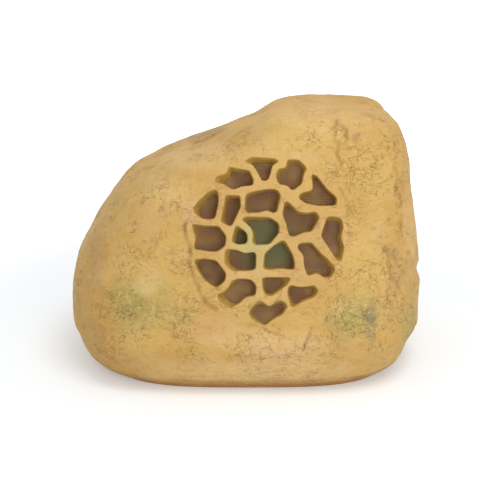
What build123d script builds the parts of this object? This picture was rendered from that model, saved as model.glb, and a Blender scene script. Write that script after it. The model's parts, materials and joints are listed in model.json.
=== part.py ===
from build123d import *
from math import copysign, cos, pi, radians, sin
import os

# Rock: overall size in millimetres, wall, how square its level outlines are in front and behind,
# and the number of facets round the outside and round the hollow
rock_width = 356.0
rock_depth = 280.0
rock_height = 268.0
wall = 7.0
front_squareness = 3.3
back_squareness = 2.5
outer_facets = 36
hollow_facets = 18

# Levels of the rock from the ground up: share of the height, then the reach to the left and right
# as shares of half the width, and to the front and back as shares of half the depth
rock_levels = [
    (0.00, 0.79, 0.82, 0.78, 0.86),
    (0.05, 0.93, 0.93, 0.87, 0.95),
    (0.19, 1.00, 1.00, 1.00, 1.00),
    (0.29, 1.00, 1.00, 0.97, 1.00),
    (0.39, 0.985, 1.00, 0.935, 0.985),
    (0.49, 0.92, 0.99, 0.895, 0.96),
    (0.58, 0.835, 0.975, 0.845, 0.92),
    (0.72, 0.67, 0.94, 0.76, 0.82),
    (0.81, 0.41, 0.92, 0.69, 0.72),
    (0.88, 0.145, 0.885, 0.61, 0.61),
    (0.94, -0.045, 0.835, 0.51, 0.48),
    (0.98, -0.155, 0.75, 0.39, 0.36),
    (1.00, -0.255, 0.55, 0.22, 0.20),
]
ground_level = rock_levels[0]
rim_level = rock_levels[1]
web_level = rock_levels[6]

# Bottom of the rock: rim on the ground, recess for the base plate, flange that carries it
rim_width = 6.0
recess_depth = 9.0
flange_width = 18.0
flange_top = 16.0
cut_clear = 1.0

# Web of openings in the leaning front, and the flat seat behind it
web_across = 20.0
web_lean = 18.0
web_thickness = 16.0
seat_radius = 99.0
pocket_radius = 86.6
pocket_depth = 16.0
opening_draft = 4.0
opening_corner = 2.4

# Outlines of the openings on the seat, to the right and up from the driver's axis
openings = [
    [(-50, 57.5), (-48, 63), (-41, 66), (-36, 71.5), (-19, 69), (-14, 59.5), (-19, 53.5), (-33.5, 51.5)],
    [(-21, 77.5), (-8, 81), (9, 78.5), (4, 70), (-1.5, 59), (-8, 65.5), (-14, 73.5)],
    [(20.5, 78), (29.5, 79.5), (36.5, 70.5), (34, 62.5), (32.5, 55), (23, 51), (11, 56.5), (9.5, 67.5),
     (18, 73)],
    [(43, 64.5), (50, 61), (57.5, 50.5), (66, 40), (61.5, 35.5), (46, 35.5), (31.5, 40.5), (32.5, 46.5),
     (41.5, 50.5)],
    [(-52.5, 50), (-47.5, 41), (-51, 24), (-62.5, 23), (-70.5, 32), (-61.5, 43)],
    [(-39, 44.5), (-27.5, 44), (-26, 35.5), (-36.5, 16.5), (-44, 20.5), (-42.5, 34.5)],
    [(-18, 46.5), (-2.5, 50), (11, 47.5), (9.5, 36.5), (6.5, 28.5), (-1.5, 31), (-16, 28.5), (-21.5, 36.5)],
    [(18.5, 38.5), (26.5, 33), (38, 28.5), (49, 24.5), (43, 11.5), (25.5, 6), (18, 14), (14.5, 27.5)],
    [(57.5, 23.5), (68, 22.5), (72, 14), (70.5, 6.5), (73, -5.5), (69.5, -17.5), (61, -9), (52.5, 6)],
    [(-72, 17), (-59.5, 15.5), (-48, 13), (-40, 2.5), (-49, -8), (-70, -7.5), (-69.5, 4.5)],
    [(-29.5, 15), (-20, 8), (-20.5, -1), (-32.5, -1.5), (-34, 6.5)],
    [(-23, 22.5), (-9, 24.5), (5.5, 22.5), (10.5, 12.5), (2.5, -1), (-13, -2), (-14.5, 8)],
    [(14, 1.5), (21, -7), (25.5, -20), (19, -26), (-2.5, -25.5), (-4, -14.5), (4.5, -5)],
    [(30.5, -1), (43, 0.5), (53.5, -10.5), (64, -25.5), (56.5, -34), (46, -30.5), (38, -31), (34.5, -18)],
    [(-39, -7), (-26.5, -8), (-15, -9), (-11, -17), (-15, -25.5), (-32.5, -25), (-40.5, -15.5)],
    [(-69, -17.5), (-55.5, -16.5), (-46, -22.5), (-39.5, -32.5), (-50, -43.5), (-62.5, -35)],
    [(-32.5, -36), (-17, -36.5), (-10, -45), (-19, -53), (-31.5, -61), (-46, -54), (-40, -46)],
    [(-4, -34.5), (9, -33.5), (21.5, -35.5), (12, -45.5), (1.5, -51), (-4.5, -43.5)],
    [(22, -42), (32.5, -42.5), (44, -42), (47.5, -49), (35.5, -56), (23.5, -61.5), (20, -50)],
    [(-15, -61.5), (-7, -56), (1.5, -61), (11.5, -56), (18.5, -61.5), (12, -71), (-2.5, -81), (-13.5, -73)],
]

# Fasteners: hexagon-head screws, whose shanks and holes are drawn eight-sided
shank_sides = 8
screw_radius = 1.75
thread_fit = 0.1
screw_clearance = 0.35
head_radius = 3.8
head_height = 2.2

# Wire mesh on the seat, and the bosses that hold the driver off it; the number of sides with
# which round parts are drawn
round_sides = 40
boss_sides = 12
mesh_radius = 86.0
mesh_thickness = 0.8
boss_height = 11.0
boss_radius = 5.0
boss_circle = 92.0
boss_turn = 60.0
boss_count = 4
boss_screw_reach = 8.0

# Driver: flange with ears, pressed basket, cone and its suspension
flange_radius = 86.0
flange_sheet = 1.5
ear_radius = 6.5
gasket_inner = 78.0
gasket_outer = 85.5
basket_depth = 43.0
basket_mouth = 75.0
basket_floor = 48.0
basket_hole = 22.0
window_count = 6
window_inner = 57.0
window_outer = 69.0
window_sweep = 34.0
cone_radius = 62.5
cone_depth = 25.0
cone_sheet = 1.6
surround_height = 4.5
surround_sheet = 0.8
surround_lip = 76.0
roll_outer = 72.5
crest_outer = 69.5
crest_inner = 65.5
dust_cap_radius = 24.0
shoulder_radius = 15.6
shoulder_height = 4.6
crown_radius = 6.0
dust_cap_height = 7.0
suspension_gap = 0.3
spider_depth = 42.0
spider_sheet = 1.0

# Motor of the driver
pole_radius = 15.4
coil_inner = 16.0
coil_outer = 17.0
gap_radius = 17.8
coil_top = 34.0
coil_length = 30.0
plate_thickness = 6.0
plate_radius = 45.0
magnet_inner = 26.0
magnet_thickness = 15.0
yoke_radius = 44.0

# Solder tags on the driver's flange
strip_drop = 80.5
strip_length = 26.0
strip_width = 7.0
strip_thickness = 2.0
tag_width = 3.0
tag_thickness = 0.8
tag_length = 9.0
tag_spacing = 5.2

# Base plate, its seal, and the rails and ribs on it
base_clearance = 0.6
base_thickness = 4.5
base_screw_count = 6
base_screw_inset = 12.0
base_screw_reach = 6.0
seal_thickness = 2.0
seal_inset = 16.5
seal_width = 6.0
rib_thickness = 3.0
rib_height = 6.0
rib_length = 170.0
rib_spacing = 130.0
rail_length = 90.0
rail_width = 6.0
rail_height = 9.0
groove_depth = 2.0
groove_floor = 5.0
groove_clearance = 0.3

# Filter board in the rails, and the parts on it
board_across = 3.0
board_back = 5.0
board_length = 110.0
board_width = 70.0
board_thickness = 1.6
capacitor_length = 32.0
capacitor_width = 14.0
capacitor_height = 22.0
inductor_radius = 12.0
inductor_bore = 5.0
inductor_height = 15.0
resistor_length = 22.0
resistor_side = 9.0
block_length = 20.0
block_width = 10.0
block_height = 12.0
block_edge = 8.0
lead_width = 8.4
lead_thickness = 2.2
lead_bend = 10.0

# Cable gland low in the back wall
gland_height = 35.0
gland_setback = 16.0
gland_pad_radius = 15.0
gland_face = 9.0
gland_bore = 3.5
gland_shank = 8.0
gland_hex = 13.5
gland_head = 5.0
gland_fit = 0.2
shank_reach = 10.0
nut_thickness = 5.0

# Axis of the driver, forward and up out of the middle of the web, and the planes taken from it
axis_forward = Vector(0, -cos(radians(web_lean)), sin(radians(web_lean)))
web_middle = Vector(web_across, -web_level[3] * rock_depth / 2, web_level[0] * rock_height)
seat = Plane(origin=web_middle - axis_forward * web_thickness, x_dir=(1, 0, 0), z_dir=axis_forward)
flange_front = seat.offset(-boss_height)
flange_back = flange_front.offset(-flange_sheet)

# Planes of the gland's pad, seen from behind, and of the base plate
pad_plane = Plane(origin=(0, rock_depth / 2 - gland_setback, gland_height), x_dir=(-1, 0, 0), z_dir=(0, 1, 0))
gland_plane = pad_plane.offset(gland_face)
base_bottom = Plane.XY.offset(recess_depth - seal_thickness - base_thickness)
base_top = base_bottom.offset(base_thickness)
board_bottom = base_top.offset(groove_floor)
board_top = board_bottom.offset(board_thickness)


def level_point(level, angle, inset=0.0):
    """Point of a level's outline, drawn in by inset: one superellipse half in front, one behind."""
    left, right, front, back = level[1:]
    half_width = (left + right) * rock_width / 4 - inset
    half_depth = (front + back) * rock_depth / 4 - inset
    middle_x = (right - left) * rock_width / 4
    middle_y = (back - front) * rock_depth / 4
    power = 2 / (back_squareness if sin(angle) > 0 else front_squareness)
    across = copysign(abs(cos(angle)) ** power, cos(angle))
    along = copysign(abs(sin(angle)) ** power, sin(angle))
    return (middle_x + half_width * across, middle_y + half_depth * along)


def level_outline(level, facets, inset=0.0):
    """Corners of a level's outline."""
    return [level_point(level, 2 * pi * step / facets, inset) for step in range(facets)]


def level_ring(level, height, facets, inset=0.0):
    """Corners of a level's outline, lifted to its height."""
    return [Vector(x, y, height) for x, y in level_outline(level, facets, inset)]


def round_ring(plane, radius):
    """Corners of a round outline on a plane."""
    turns = [2 * pi * step / round_sides for step in range(round_sides)]
    return [plane.from_local_coords(Vector(radius * cos(turn), radius * sin(turn), 0)) for turn in turns]


def faceted_solid(rings):
    """Solid with flat ends and triangles from each ring of corners to the next."""
    faces = [Face(Wire.make_polygon(rings[0])), Face(Wire.make_polygon(rings[-1]))]
    for lower, upper in zip(rings, rings[1:]):
        for here in range(len(lower)):
            before = here - 1
            faces.append(Face(Wire.make_polygon([lower[before], lower[here], upper[here]])))
            faces.append(Face(Wire.make_polygon([lower[before], upper[here], upper[before]])))
    return Solid(Shell(faces))


# Forms of the rock's outside and of its hollow
outer_form = faceted_solid([level_ring(level, level[0] * rock_height, outer_facets) for level in rock_levels])
hollow_form = faceted_solid(
    [level_ring(rim_level, flange_top, hollow_facets, wall)]
    + [level_ring(level, level[0] * rock_height - wall, hollow_facets, wall) for level in rock_levels[2:-1]]
)

# Hollow with the seat, the pocket of the mesh, the gland's pad, the base opening and its recess
with BuildPart() as hollow:
    add(hollow_form)
    with BuildSketch(seat):
        RegularPolygon(seat_radius, round_sides)
    extrude(amount=rock_depth / 2, mode=Mode.SUBTRACT)
    with BuildSketch(pad_plane):
        RegularPolygon(gland_pad_radius, round_sides)
    extrude(amount=rock_depth / 2, mode=Mode.SUBTRACT)
    with BuildSketch(seat):
        RegularPolygon(pocket_radius, round_sides)
    extrude(amount=-pocket_depth)
    with BuildSketch(Plane.XY.offset(recess_depth)):
        Polygon(*level_outline(ground_level, outer_facets, rim_width + flange_width), align=None)
    extrude(amount=flange_top - recess_depth + cut_clear)
    with BuildSketch(Plane.XY.offset(-cut_clear)):
        Polygon(*level_outline(ground_level, outer_facets, rim_width), align=None)
    extrude(amount=recess_depth + cut_clear)

# Openings of the web, with blunt corners, flaring forward
with BuildPart() as web_openings:
    with BuildSketch(seat.offset(-cut_clear)) as web_pattern:
        for outline in openings:
            Polygon(*outline, align=None)
        chamfer(web_pattern.vertices(), opening_corner)
    extrude(amount=web_thickness + 2 * cut_clear, taper=-opening_draft)

# Rock shell: cast in one piece with the web, the driver's bosses and the base flange
base_screw_places = [
    level_point(ground_level, 2 * pi * (step + 0.5) / base_screw_count, base_screw_inset)
    for step in range(base_screw_count)
]
with BuildPart() as rock_shell:
    add(outer_form)
    add(hollow.part, mode=Mode.SUBTRACT)
    add(web_openings.part, mode=Mode.SUBTRACT)
    with BuildSketch(seat):
        with PolarLocations(boss_circle, boss_count, start_angle=boss_turn):
            RegularPolygon(boss_radius, boss_sides)
    extrude(amount=-boss_height)
    with BuildSketch(flange_front):
        with PolarLocations(boss_circle, boss_count, start_angle=boss_turn):
            RegularPolygon(screw_radius + thread_fit, shank_sides)
    extrude(amount=boss_screw_reach + thread_fit, mode=Mode.SUBTRACT)
    with BuildSketch(Plane.XY.offset(recess_depth)):
        with Locations(*base_screw_places):
            RegularPolygon(screw_radius + thread_fit, shank_sides)
    extrude(amount=base_screw_reach + thread_fit, mode=Mode.SUBTRACT)
    with BuildSketch(gland_plane):
        RegularPolygon(gland_pad_radius, round_sides)
    extrude(amount=gland_setback, mode=Mode.SUBTRACT)
    with BuildSketch(pad_plane):
        RegularPolygon(gland_shank + gland_fit, round_sides)
    extrude(amount=gland_face, mode=Mode.SUBTRACT)
rock_shell.part.label = "rock_shell"

# Wire mesh behind the web
with BuildPart() as grille_mesh:
    with BuildSketch(seat):
        RegularPolygon(mesh_radius, round_sides)
    extrude(amount=-mesh_thickness)
grille_mesh.part.label = "grille_mesh"

# Foam ring between the mesh and the driver's flange
with BuildPart() as driver_gasket:
    with BuildSketch(flange_front):
        RegularPolygon(gasket_outer, round_sides)
        RegularPolygon(gasket_inner, round_sides, mode=Mode.SUBTRACT)
    extrude(amount=boss_height - mesh_thickness)
driver_gasket.part.label = "driver_gasket"

# Pressed basket with its windows and four screw ears
motor_front = flange_front.offset(-basket_depth)
floor_front = motor_front.offset(flange_sheet)
basket_outside = faceted_solid([round_ring(motor_front, basket_floor), round_ring(flange_back, basket_mouth)])
basket_inside = faceted_solid(
    [
        round_ring(floor_front, basket_floor - flange_sheet),
        round_ring(flange_front, basket_mouth - flange_sheet),
    ]
)
window_side = radians(window_sweep / 2)
with BuildPart() as driver_basket:
    with BuildSketch(flange_back):
        RegularPolygon(flange_radius, round_sides)
        with PolarLocations(boss_circle, boss_count, start_angle=boss_turn):
            RegularPolygon(ear_radius, boss_sides)
        with PolarLocations(boss_circle - ear_radius, boss_count, start_angle=boss_turn):
            Rectangle(2 * ear_radius, 2 * ear_radius)
        with PolarLocations(boss_circle, boss_count, start_angle=boss_turn):
            RegularPolygon(screw_radius + screw_clearance, shank_sides, mode=Mode.SUBTRACT)
    extrude(amount=flange_sheet)
    add(basket_outside)
    add(basket_inside, mode=Mode.SUBTRACT)
    with BuildSketch(motor_front):
        RegularPolygon(basket_hole, round_sides)
    extrude(amount=flange_sheet, mode=Mode.SUBTRACT)
    with BuildSketch(flange_back):
        with PolarLocations(0, window_count):
            Polygon(
                (window_inner * cos(window_side), -window_inner * sin(window_side)),
                (window_outer * cos(window_side), -window_outer * sin(window_side)),
                (window_outer * cos(window_side), window_outer * sin(window_side)),
                (window_inner * cos(window_side), window_inner * sin(window_side)),
                align=None,
            )
    extrude(amount=-basket_depth, mode=Mode.SUBTRACT)
driver_basket.part.label = "driver_basket"

# Screws of the driver, from behind through the ears into the bosses
with BuildPart() as driver_screws:
    with BuildSketch(flange_back):
        with PolarLocations(boss_circle, boss_count, start_angle=boss_turn):
            RegularPolygon(head_radius, 6)
    extrude(amount=-head_height)
    with BuildSketch(flange_back):
        with PolarLocations(boss_circle, boss_count, start_angle=boss_turn):
            RegularPolygon(screw_radius, shank_sides)
    extrude(amount=flange_sheet + boss_screw_reach)
driver_screws.part.label = "driver_screws"

# Rubber surround: lip glued on the flange and a roll that stands forward
lip_front = flange_front.offset(surround_sheet)
roll_crest = flange_front.offset(surround_height)
roll_outside = faceted_solid([round_ring(lip_front, roll_outer), round_ring(roll_crest, crest_outer)])
roll_inside = faceted_solid(
    [round_ring(flange_front, cone_radius + suspension_gap), round_ring(roll_crest, crest_inner)]
)
with BuildPart() as surround:
    with BuildSketch(flange_front):
        RegularPolygon(surround_lip, round_sides)
    extrude(amount=surround_sheet)
    add(roll_outside)
    add(roll_inside, mode=Mode.SUBTRACT)
surround.part.label = "surround"

# Paper cone from the surround down to the coil's former
cone_neck = coil_outer + suspension_gap
cone_bottom = flange_front.offset(-cone_depth)
cone_behind = faceted_solid(
    [round_ring(cone_bottom, cone_neck + cone_sheet), round_ring(flange_front, cone_radius)]
)
cone_front = faceted_solid(
    [round_ring(cone_bottom, cone_neck), round_ring(flange_front, cone_radius - cone_sheet)]
)
with BuildPart() as cone:
    add(cone_behind)
    add(cone_front, mode=Mode.SUBTRACT)
cone.part.label = "cone"

# Dust cap over the middle of the cone
cap_rise = cone_depth * (dust_cap_radius - cone_neck) / (cone_radius - cone_sheet - cone_neck)
cap_bottom = cone_bottom.offset(cap_rise + suspension_gap)
cap_shoulder = cap_bottom.offset(shoulder_height)
cap_top = cap_bottom.offset(dust_cap_height)
cap_dome = faceted_solid(
    [
        round_ring(cap_bottom, dust_cap_radius),
        round_ring(cap_shoulder, shoulder_radius),
        round_ring(cap_top, crown_radius),
    ]
)
with BuildPart() as dust_cap:
    add(cap_dome)
dust_cap.part.label = "dust_cap"

# Voice coil on its former
with BuildPart() as voice_coil:
    with BuildSketch(seat.offset(-coil_top)):
        RegularPolygon(coil_outer, round_sides)
        RegularPolygon(coil_inner, round_sides, mode=Mode.SUBTRACT)
    extrude(amount=-coil_length)
voice_coil.part.label = "voice_coil"

# Spider that centres the coil in the basket
spider_share = (spider_depth + spider_sheet - boss_height) / (basket_depth - flange_sheet)
spider_radius = basket_mouth - flange_sheet - (basket_mouth - basket_floor) * spider_share
with BuildPart() as spider:
    with BuildSketch(seat.offset(-spider_depth)):
        RegularPolygon(spider_radius - suspension_gap, round_sides)
        RegularPolygon(cone_neck, round_sides, mode=Mode.SUBTRACT)
    extrude(amount=-spider_sheet)
spider.part.label = "spider"

# Front plate of the motor, on the basket's floor
with BuildPart() as top_plate:
    with BuildSketch(motor_front):
        RegularPolygon(plate_radius, round_sides)
        RegularPolygon(gap_radius, round_sides, mode=Mode.SUBTRACT)
    extrude(amount=-plate_thickness)
top_plate.part.label = "top_plate"

# Ferrite magnet ring
magnet_front = motor_front.offset(-plate_thickness)
with BuildPart() as magnet:
    with BuildSketch(magnet_front):
        RegularPolygon(plate_radius, round_sides)
        RegularPolygon(magnet_inner, round_sides, mode=Mode.SUBTRACT)
    extrude(amount=-magnet_thickness)
magnet.part.label = "magnet"

# Back plate with the pole that stands in the coil
yoke_front = magnet_front.offset(-magnet_thickness)
with BuildPart() as yoke:
    with BuildSketch(yoke_front):
        RegularPolygon(yoke_radius, round_sides)
    extrude(amount=-plate_thickness)
    with BuildSketch(yoke_front):
        RegularPolygon(pole_radius, round_sides)
    extrude(amount=magnet_thickness + plate_thickness)
yoke.part.label = "yoke"

# Strip with two solder tags on the back of the flange
strip_back = flange_back.offset(-strip_thickness)
with BuildPart() as terminal_strip:
    with BuildSketch(strip_back):
        with Locations((0, -strip_drop)):
            Rectangle(strip_length, strip_width)
    extrude(amount=strip_thickness)
    with BuildSketch(strip_back):
        with Locations((-tag_spacing / 2, -strip_drop), (tag_spacing / 2, -strip_drop)):
            Rectangle(tag_width, tag_thickness)
    extrude(amount=-tag_length)
terminal_strip.part.label = "terminal_strip"

# Base plate with ribs across and the two grooved rails of the board
groove_top = groove_floor + board_thickness + groove_clearance
rail_section = [
    (-groove_depth, 0),
    (rail_width - groove_depth, 0),
    (rail_width - groove_depth, rail_height),
    (-groove_depth, rail_height),
    (-groove_depth, groove_top),
    (groove_clearance, groove_top),
    (groove_clearance, groove_floor),
    (-groove_depth, groove_floor),
]
with BuildPart() as base_plate:
    with BuildSketch(base_bottom):
        Polygon(*level_outline(ground_level, outer_facets, rim_width + base_clearance), align=None)
        with Locations(*base_screw_places):
            RegularPolygon(screw_radius + screw_clearance, shank_sides, mode=Mode.SUBTRACT)
    extrude(amount=base_thickness)
    with BuildSketch(base_top):
        with Locations((board_across, board_back)):
            with GridLocations(0, rib_spacing, 1, 2):
                Rectangle(rib_length, rib_thickness)
    extrude(amount=rib_height)
    for side in (-1, 1):
        edge = board_back + side * board_width / 2
        rail_corners = [(edge + side * out, base_top.origin.Z + up) for out, up in rail_section]
        with BuildSketch(Plane.YZ.offset(board_across - rail_length / 2)):
            with BuildLine():
                Polyline(*rail_corners, close=True)
            make_face()
        extrude(amount=rail_length)
base_plate.part.label = "base_plate"

# Rubber seal between the base plate and the shell's flange
with BuildPart() as base_gasket:
    with BuildSketch(base_top):
        Polygon(*level_outline(ground_level, outer_facets, seal_inset), align=None)
        Polygon(
            *level_outline(ground_level, outer_facets, seal_inset + seal_width),
            align=None,
            mode=Mode.SUBTRACT,
        )
    extrude(amount=seal_thickness)
base_gasket.part.label = "base_gasket"

# Screws of the base plate, from below into the shell's flange
with BuildPart() as base_screws:
    with BuildSketch(base_bottom):
        with Locations(*base_screw_places):
            RegularPolygon(head_radius, 6)
    extrude(amount=-head_height)
    with BuildSketch(base_bottom):
        with Locations(*base_screw_places):
            RegularPolygon(screw_radius, shank_sides)
    extrude(amount=base_thickness + seal_thickness + base_screw_reach)
base_screws.part.label = "base_screws"

# Board of the filter, pushed into the rails
with BuildPart() as crossover_board:
    with BuildSketch(board_bottom):
        with Locations((board_across, board_back)):
            Rectangle(board_length, board_width)
    extrude(amount=board_thickness)
crossover_board.part.label = "crossover_board"

# Film capacitor in a moulded case
with BuildPart() as capacitor:
    with BuildSketch(board_top):
        with Locations((board_across - board_length / 4, board_back - board_width / 5)):
            Rectangle(capacitor_length, capacitor_width)
    extrude(amount=capacitor_height)
capacitor.part.label = "capacitor"

# Inductor: a wound ring
with BuildPart() as inductor:
    with BuildSketch(board_top):
        with Locations((board_across - board_length / 4, board_back + board_width / 5)):
            RegularPolygon(inductor_radius, round_sides)
            RegularPolygon(inductor_bore, round_sides, mode=Mode.SUBTRACT)
    extrude(amount=inductor_height)
inductor.part.label = "inductor"

# Cement resistor
with BuildPart() as resistor:
    with BuildSketch(board_top):
        with Locations((board_across + board_length / 4, board_back + board_width / 5)):
            Rectangle(resistor_length, resistor_side)
    extrude(amount=resistor_side)
resistor.part.label = "resistor"

# Terminal block of the board, straight behind the driver's tags
block_back = board_back - board_width / 2 + block_edge
with BuildPart() as terminal_block:
    with BuildSketch(board_top):
        with Locations((web_across, block_back)):
            Rectangle(block_length, block_width)
    extrude(amount=block_height)
terminal_block.part.label = "terminal_block"

# Flat twin lead from the driver's tags, bent down to the terminal block
tag_end = strip_back.offset(-tag_length).from_local_coords(Vector(0, -strip_drop, 0))
bend_height = tag_end.Z - (block_back - tag_end.Y) * axis_forward.Z / -axis_forward.Y
with BuildPart() as twin_lead:
    with BuildLine() as lead_path:
        FilletPolyline(
            tag_end,
            (web_across, block_back, bend_height),
            (web_across, block_back, board_top.origin.Z + block_height),
            radius=lead_bend,
        )
    with BuildSketch(Plane(origin=tag_end, x_dir=(1, 0, 0), z_dir=-axis_forward)):
        Rectangle(lead_width, lead_thickness)
    sweep(path=lead_path.wire())
twin_lead.part.label = "twin_lead"

# Cable gland through the back wall
with BuildPart() as cable_gland:
    with BuildSketch(gland_plane):
        RegularPolygon(gland_hex, 6)
    extrude(amount=gland_head)
    with BuildSketch(gland_plane):
        RegularPolygon(gland_shank, round_sides)
    extrude(amount=-gland_face - shank_reach)
    with BuildSketch(gland_plane.offset(gland_head)):
        Circle(gland_bore)
    extrude(amount=-gland_head - gland_face - shank_reach, mode=Mode.SUBTRACT)
cable_gland.part.label = "cable_gland"

# Nut of the gland, on the pad inside the wall
with BuildPart() as gland_nut:
    with BuildSketch(pad_plane):
        RegularPolygon(gland_hex, 6)
        RegularPolygon(gland_shank + gland_fit, round_sides, mode=Mode.SUBTRACT)
    extrude(amount=-nut_thickness)
gland_nut.part.label = "gland_nut"

os.makedirs("parts", exist_ok=True)
export_step(rock_shell.part, "parts/rock_shell.step")
export_step(grille_mesh.part, "parts/grille_mesh.step")
export_step(driver_gasket.part, "parts/driver_gasket.step")
export_step(driver_basket.part, "parts/driver_basket.step")
export_step(driver_screws.part, "parts/driver_screws.step")
export_step(surround.part, "parts/surround.step")
export_step(cone.part, "parts/cone.step")
export_step(dust_cap.part, "parts/dust_cap.step")
export_step(voice_coil.part, "parts/voice_coil.step")
export_step(spider.part, "parts/spider.step")
export_step(top_plate.part, "parts/top_plate.step")
export_step(magnet.part, "parts/magnet.step")
export_step(yoke.part, "parts/yoke.step")
export_step(terminal_strip.part, "parts/terminal_strip.step")
export_step(base_plate.part, "parts/base_plate.step")
export_step(base_gasket.part, "parts/base_gasket.step")
export_step(base_screws.part, "parts/base_screws.step")
export_step(crossover_board.part, "parts/crossover_board.step")
export_step(capacitor.part, "parts/capacitor.step")
export_step(inductor.part, "parts/inductor.step")
export_step(resistor.part, "parts/resistor.step")
export_step(terminal_block.part, "parts/terminal_block.step")
export_step(twin_lead.part, "parts/twin_lead.step")
export_step(cable_gland.part, "parts/cable_gland.step")
export_step(gland_nut.part, "parts/gland_nut.step")
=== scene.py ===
import bpy
import json
import numpy as np
from math import radians
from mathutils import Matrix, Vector
from mathutils.geometry import delaunay_2d_cdt


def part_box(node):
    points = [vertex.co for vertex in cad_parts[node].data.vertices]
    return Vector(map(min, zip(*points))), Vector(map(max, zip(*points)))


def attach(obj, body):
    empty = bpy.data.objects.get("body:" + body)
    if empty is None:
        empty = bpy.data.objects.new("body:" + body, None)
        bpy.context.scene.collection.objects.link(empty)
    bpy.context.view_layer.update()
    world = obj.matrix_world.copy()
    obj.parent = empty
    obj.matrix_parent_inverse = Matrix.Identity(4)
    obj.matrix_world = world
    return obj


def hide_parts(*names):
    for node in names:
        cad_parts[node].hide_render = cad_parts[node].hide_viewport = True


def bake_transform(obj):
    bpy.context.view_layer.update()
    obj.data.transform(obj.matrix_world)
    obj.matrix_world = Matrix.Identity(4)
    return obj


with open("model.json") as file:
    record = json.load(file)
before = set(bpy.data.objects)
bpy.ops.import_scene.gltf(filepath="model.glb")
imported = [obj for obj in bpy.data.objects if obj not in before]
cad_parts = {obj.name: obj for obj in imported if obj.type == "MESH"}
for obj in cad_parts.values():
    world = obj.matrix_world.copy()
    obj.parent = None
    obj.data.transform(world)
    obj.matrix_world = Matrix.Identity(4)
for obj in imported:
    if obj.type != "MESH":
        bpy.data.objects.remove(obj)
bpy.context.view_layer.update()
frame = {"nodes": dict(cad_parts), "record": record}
record = frame["record"]
millimetre = 0.001
fullTurn = 2 * np.pi
print("frame loaded:", len(frame["nodes"]), "nodes")


# Places taken from the frame, in millimetres

def nodeBox(node):
    # lowest and highest corner of a node
    low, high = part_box(node)
    return np.array(low) / millimetre, np.array(high) / millimetre


def plane(origin, right, forward):
    # three directions at right angles: right, up and forward out of the plane
    right, forward = np.array(right, float), np.array(forward, float)
    up = np.cross(forward, right)
    return {"origin": np.array(origin, float), "right": right, "up": up, "forward": forward}


def intoPlane(place, points):
    # how far right, up and forward of the plane's origin each point lies
    away = points - place["origin"]
    return np.stack([away @ place["right"], away @ place["up"], away @ place["forward"]], axis=-1)


def outOfPlane(place, flat):
    # the way back: so far right, up and forward of the plane's origin
    return place["origin"] + flat @ np.stack([place["right"], place["up"], place["forward"]])


strokeAxis = np.array(record["behaviour"]["joints"][0]["axis"])
clothThickness = 0.8  # the front of the cloth lies on the seat behind the web
clothMiddle = sum(nodeBox("grille_mesh")) / 2
seat = plane(clothMiddle + strokeAxis * clothThickness / 2, (1, 0, 0), strokeAxis)
glandHole = np.array(record["mounts"][1]["pos_m"]) / millimetre  # the bore in the back
rockLow, rockHigh = nodeBox("rock_shell")
rockSize = rockHigh - rockLow


# Mesh helpers

def newPiece(name, points, quads, tris, sharpAngle=50):
    # one mesh from whole arrays; points that no face uses are left out
    quads = np.asarray(quads, int).reshape(-1, 4)
    tris = np.asarray(tris, int).reshape(-1, 3)
    used, corners = np.unique(np.concatenate([quads.ravel(), tris.ravel()]), return_inverse=True)
    mesh = bpy.data.meshes.new(name)
    mesh.vertices.add(len(used))
    mesh.vertices.foreach_set("co", (points[used] * millimetre).astype(np.float32).ravel())
    mesh.loops.add(len(corners))
    mesh.loops.foreach_set("vertex_index", corners.astype(np.int32))
    starts = np.concatenate([np.arange(len(quads)) * 4, len(quads) * 4 + np.arange(len(tris)) * 3])
    mesh.polygons.add(len(starts))
    mesh.polygons.foreach_set("loop_start", starts.astype(np.int32))
    mesh.update(calc_edges=True)
    mesh.validate()
    mesh.shade_smooth()
    mesh.set_sharp_from_angle(angle=radians(sharpAngle))
    piece = bpy.data.objects.new(name, mesh)
    bpy.context.collection.objects.link(piece)
    print(name, "has", len(quads) * 2 + len(tris), "triangles")
    return piece, used


def addAttribute(piece, name, values):
    # one number for each point of the piece
    layer = piece.data.attributes.new(name, "FLOAT", "POINT")
    layer.data.foreach_set("value", values.astype(np.float32))


def gridQuads(ids):
    # quads between each row of ids and the next; the last column repeats the first where a row closes
    return np.stack([ids[:-1, :-1], ids[:-1, 1:], ids[1:, 1:], ids[1:, :-1]], axis=-1).reshape(-1, 4)


def closedRows(ids):
    # each row with its first id again at its end
    return np.concatenate([ids, ids[:, :1]], axis=1)


# Materials: each finish is a set of nodes on Object coordinates or on the piece's own attributes,
# and a helper adds its node to the tree of the socket that it is given

def paint(red, green, blue):
    # a colour as it is seen, 0 to 255, turned into the linear value that a socket takes
    seen = np.array([red, green, blue]) / 255
    linear = np.where(seen <= 0.04045, seen / 12.92, ((seen + 0.055) / 1.055) ** 2.4)
    return (*[float(value) for value in linear], 1.0)


def addNode(tree, kind, inputs=None, **settings):
    # a node with its settings, and each input joined to a socket or set to a value
    made = tree.nodes.new(kind)
    for key, value in settings.items():
        setattr(made, key, value)
    for key, value in (inputs or {}).items():
        if isinstance(value, bpy.types.NodeSocket):
            tree.links.new(value, made.inputs[key])
        else:
            made.inputs[key].default_value = value
    return made


def startFinish(name, **shaderValues):
    # a new material, its shader with these values, and the Object coordinates
    material = bpy.data.materials.new(name)
    material.use_nodes = True
    shader = material.node_tree.nodes["Principled BSDF"]
    for key, value in shaderValues.items():
        shader.inputs[key.replace("_", " ")].default_value = value
    at = addNode(material.node_tree, "ShaderNodeTexCoord").outputs["Object"]
    return material, shader, at


def join(value, node, socketName):
    # a link from a socket to an input of a node
    value.id_data.links.new(value, node.inputs[socketName])


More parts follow.
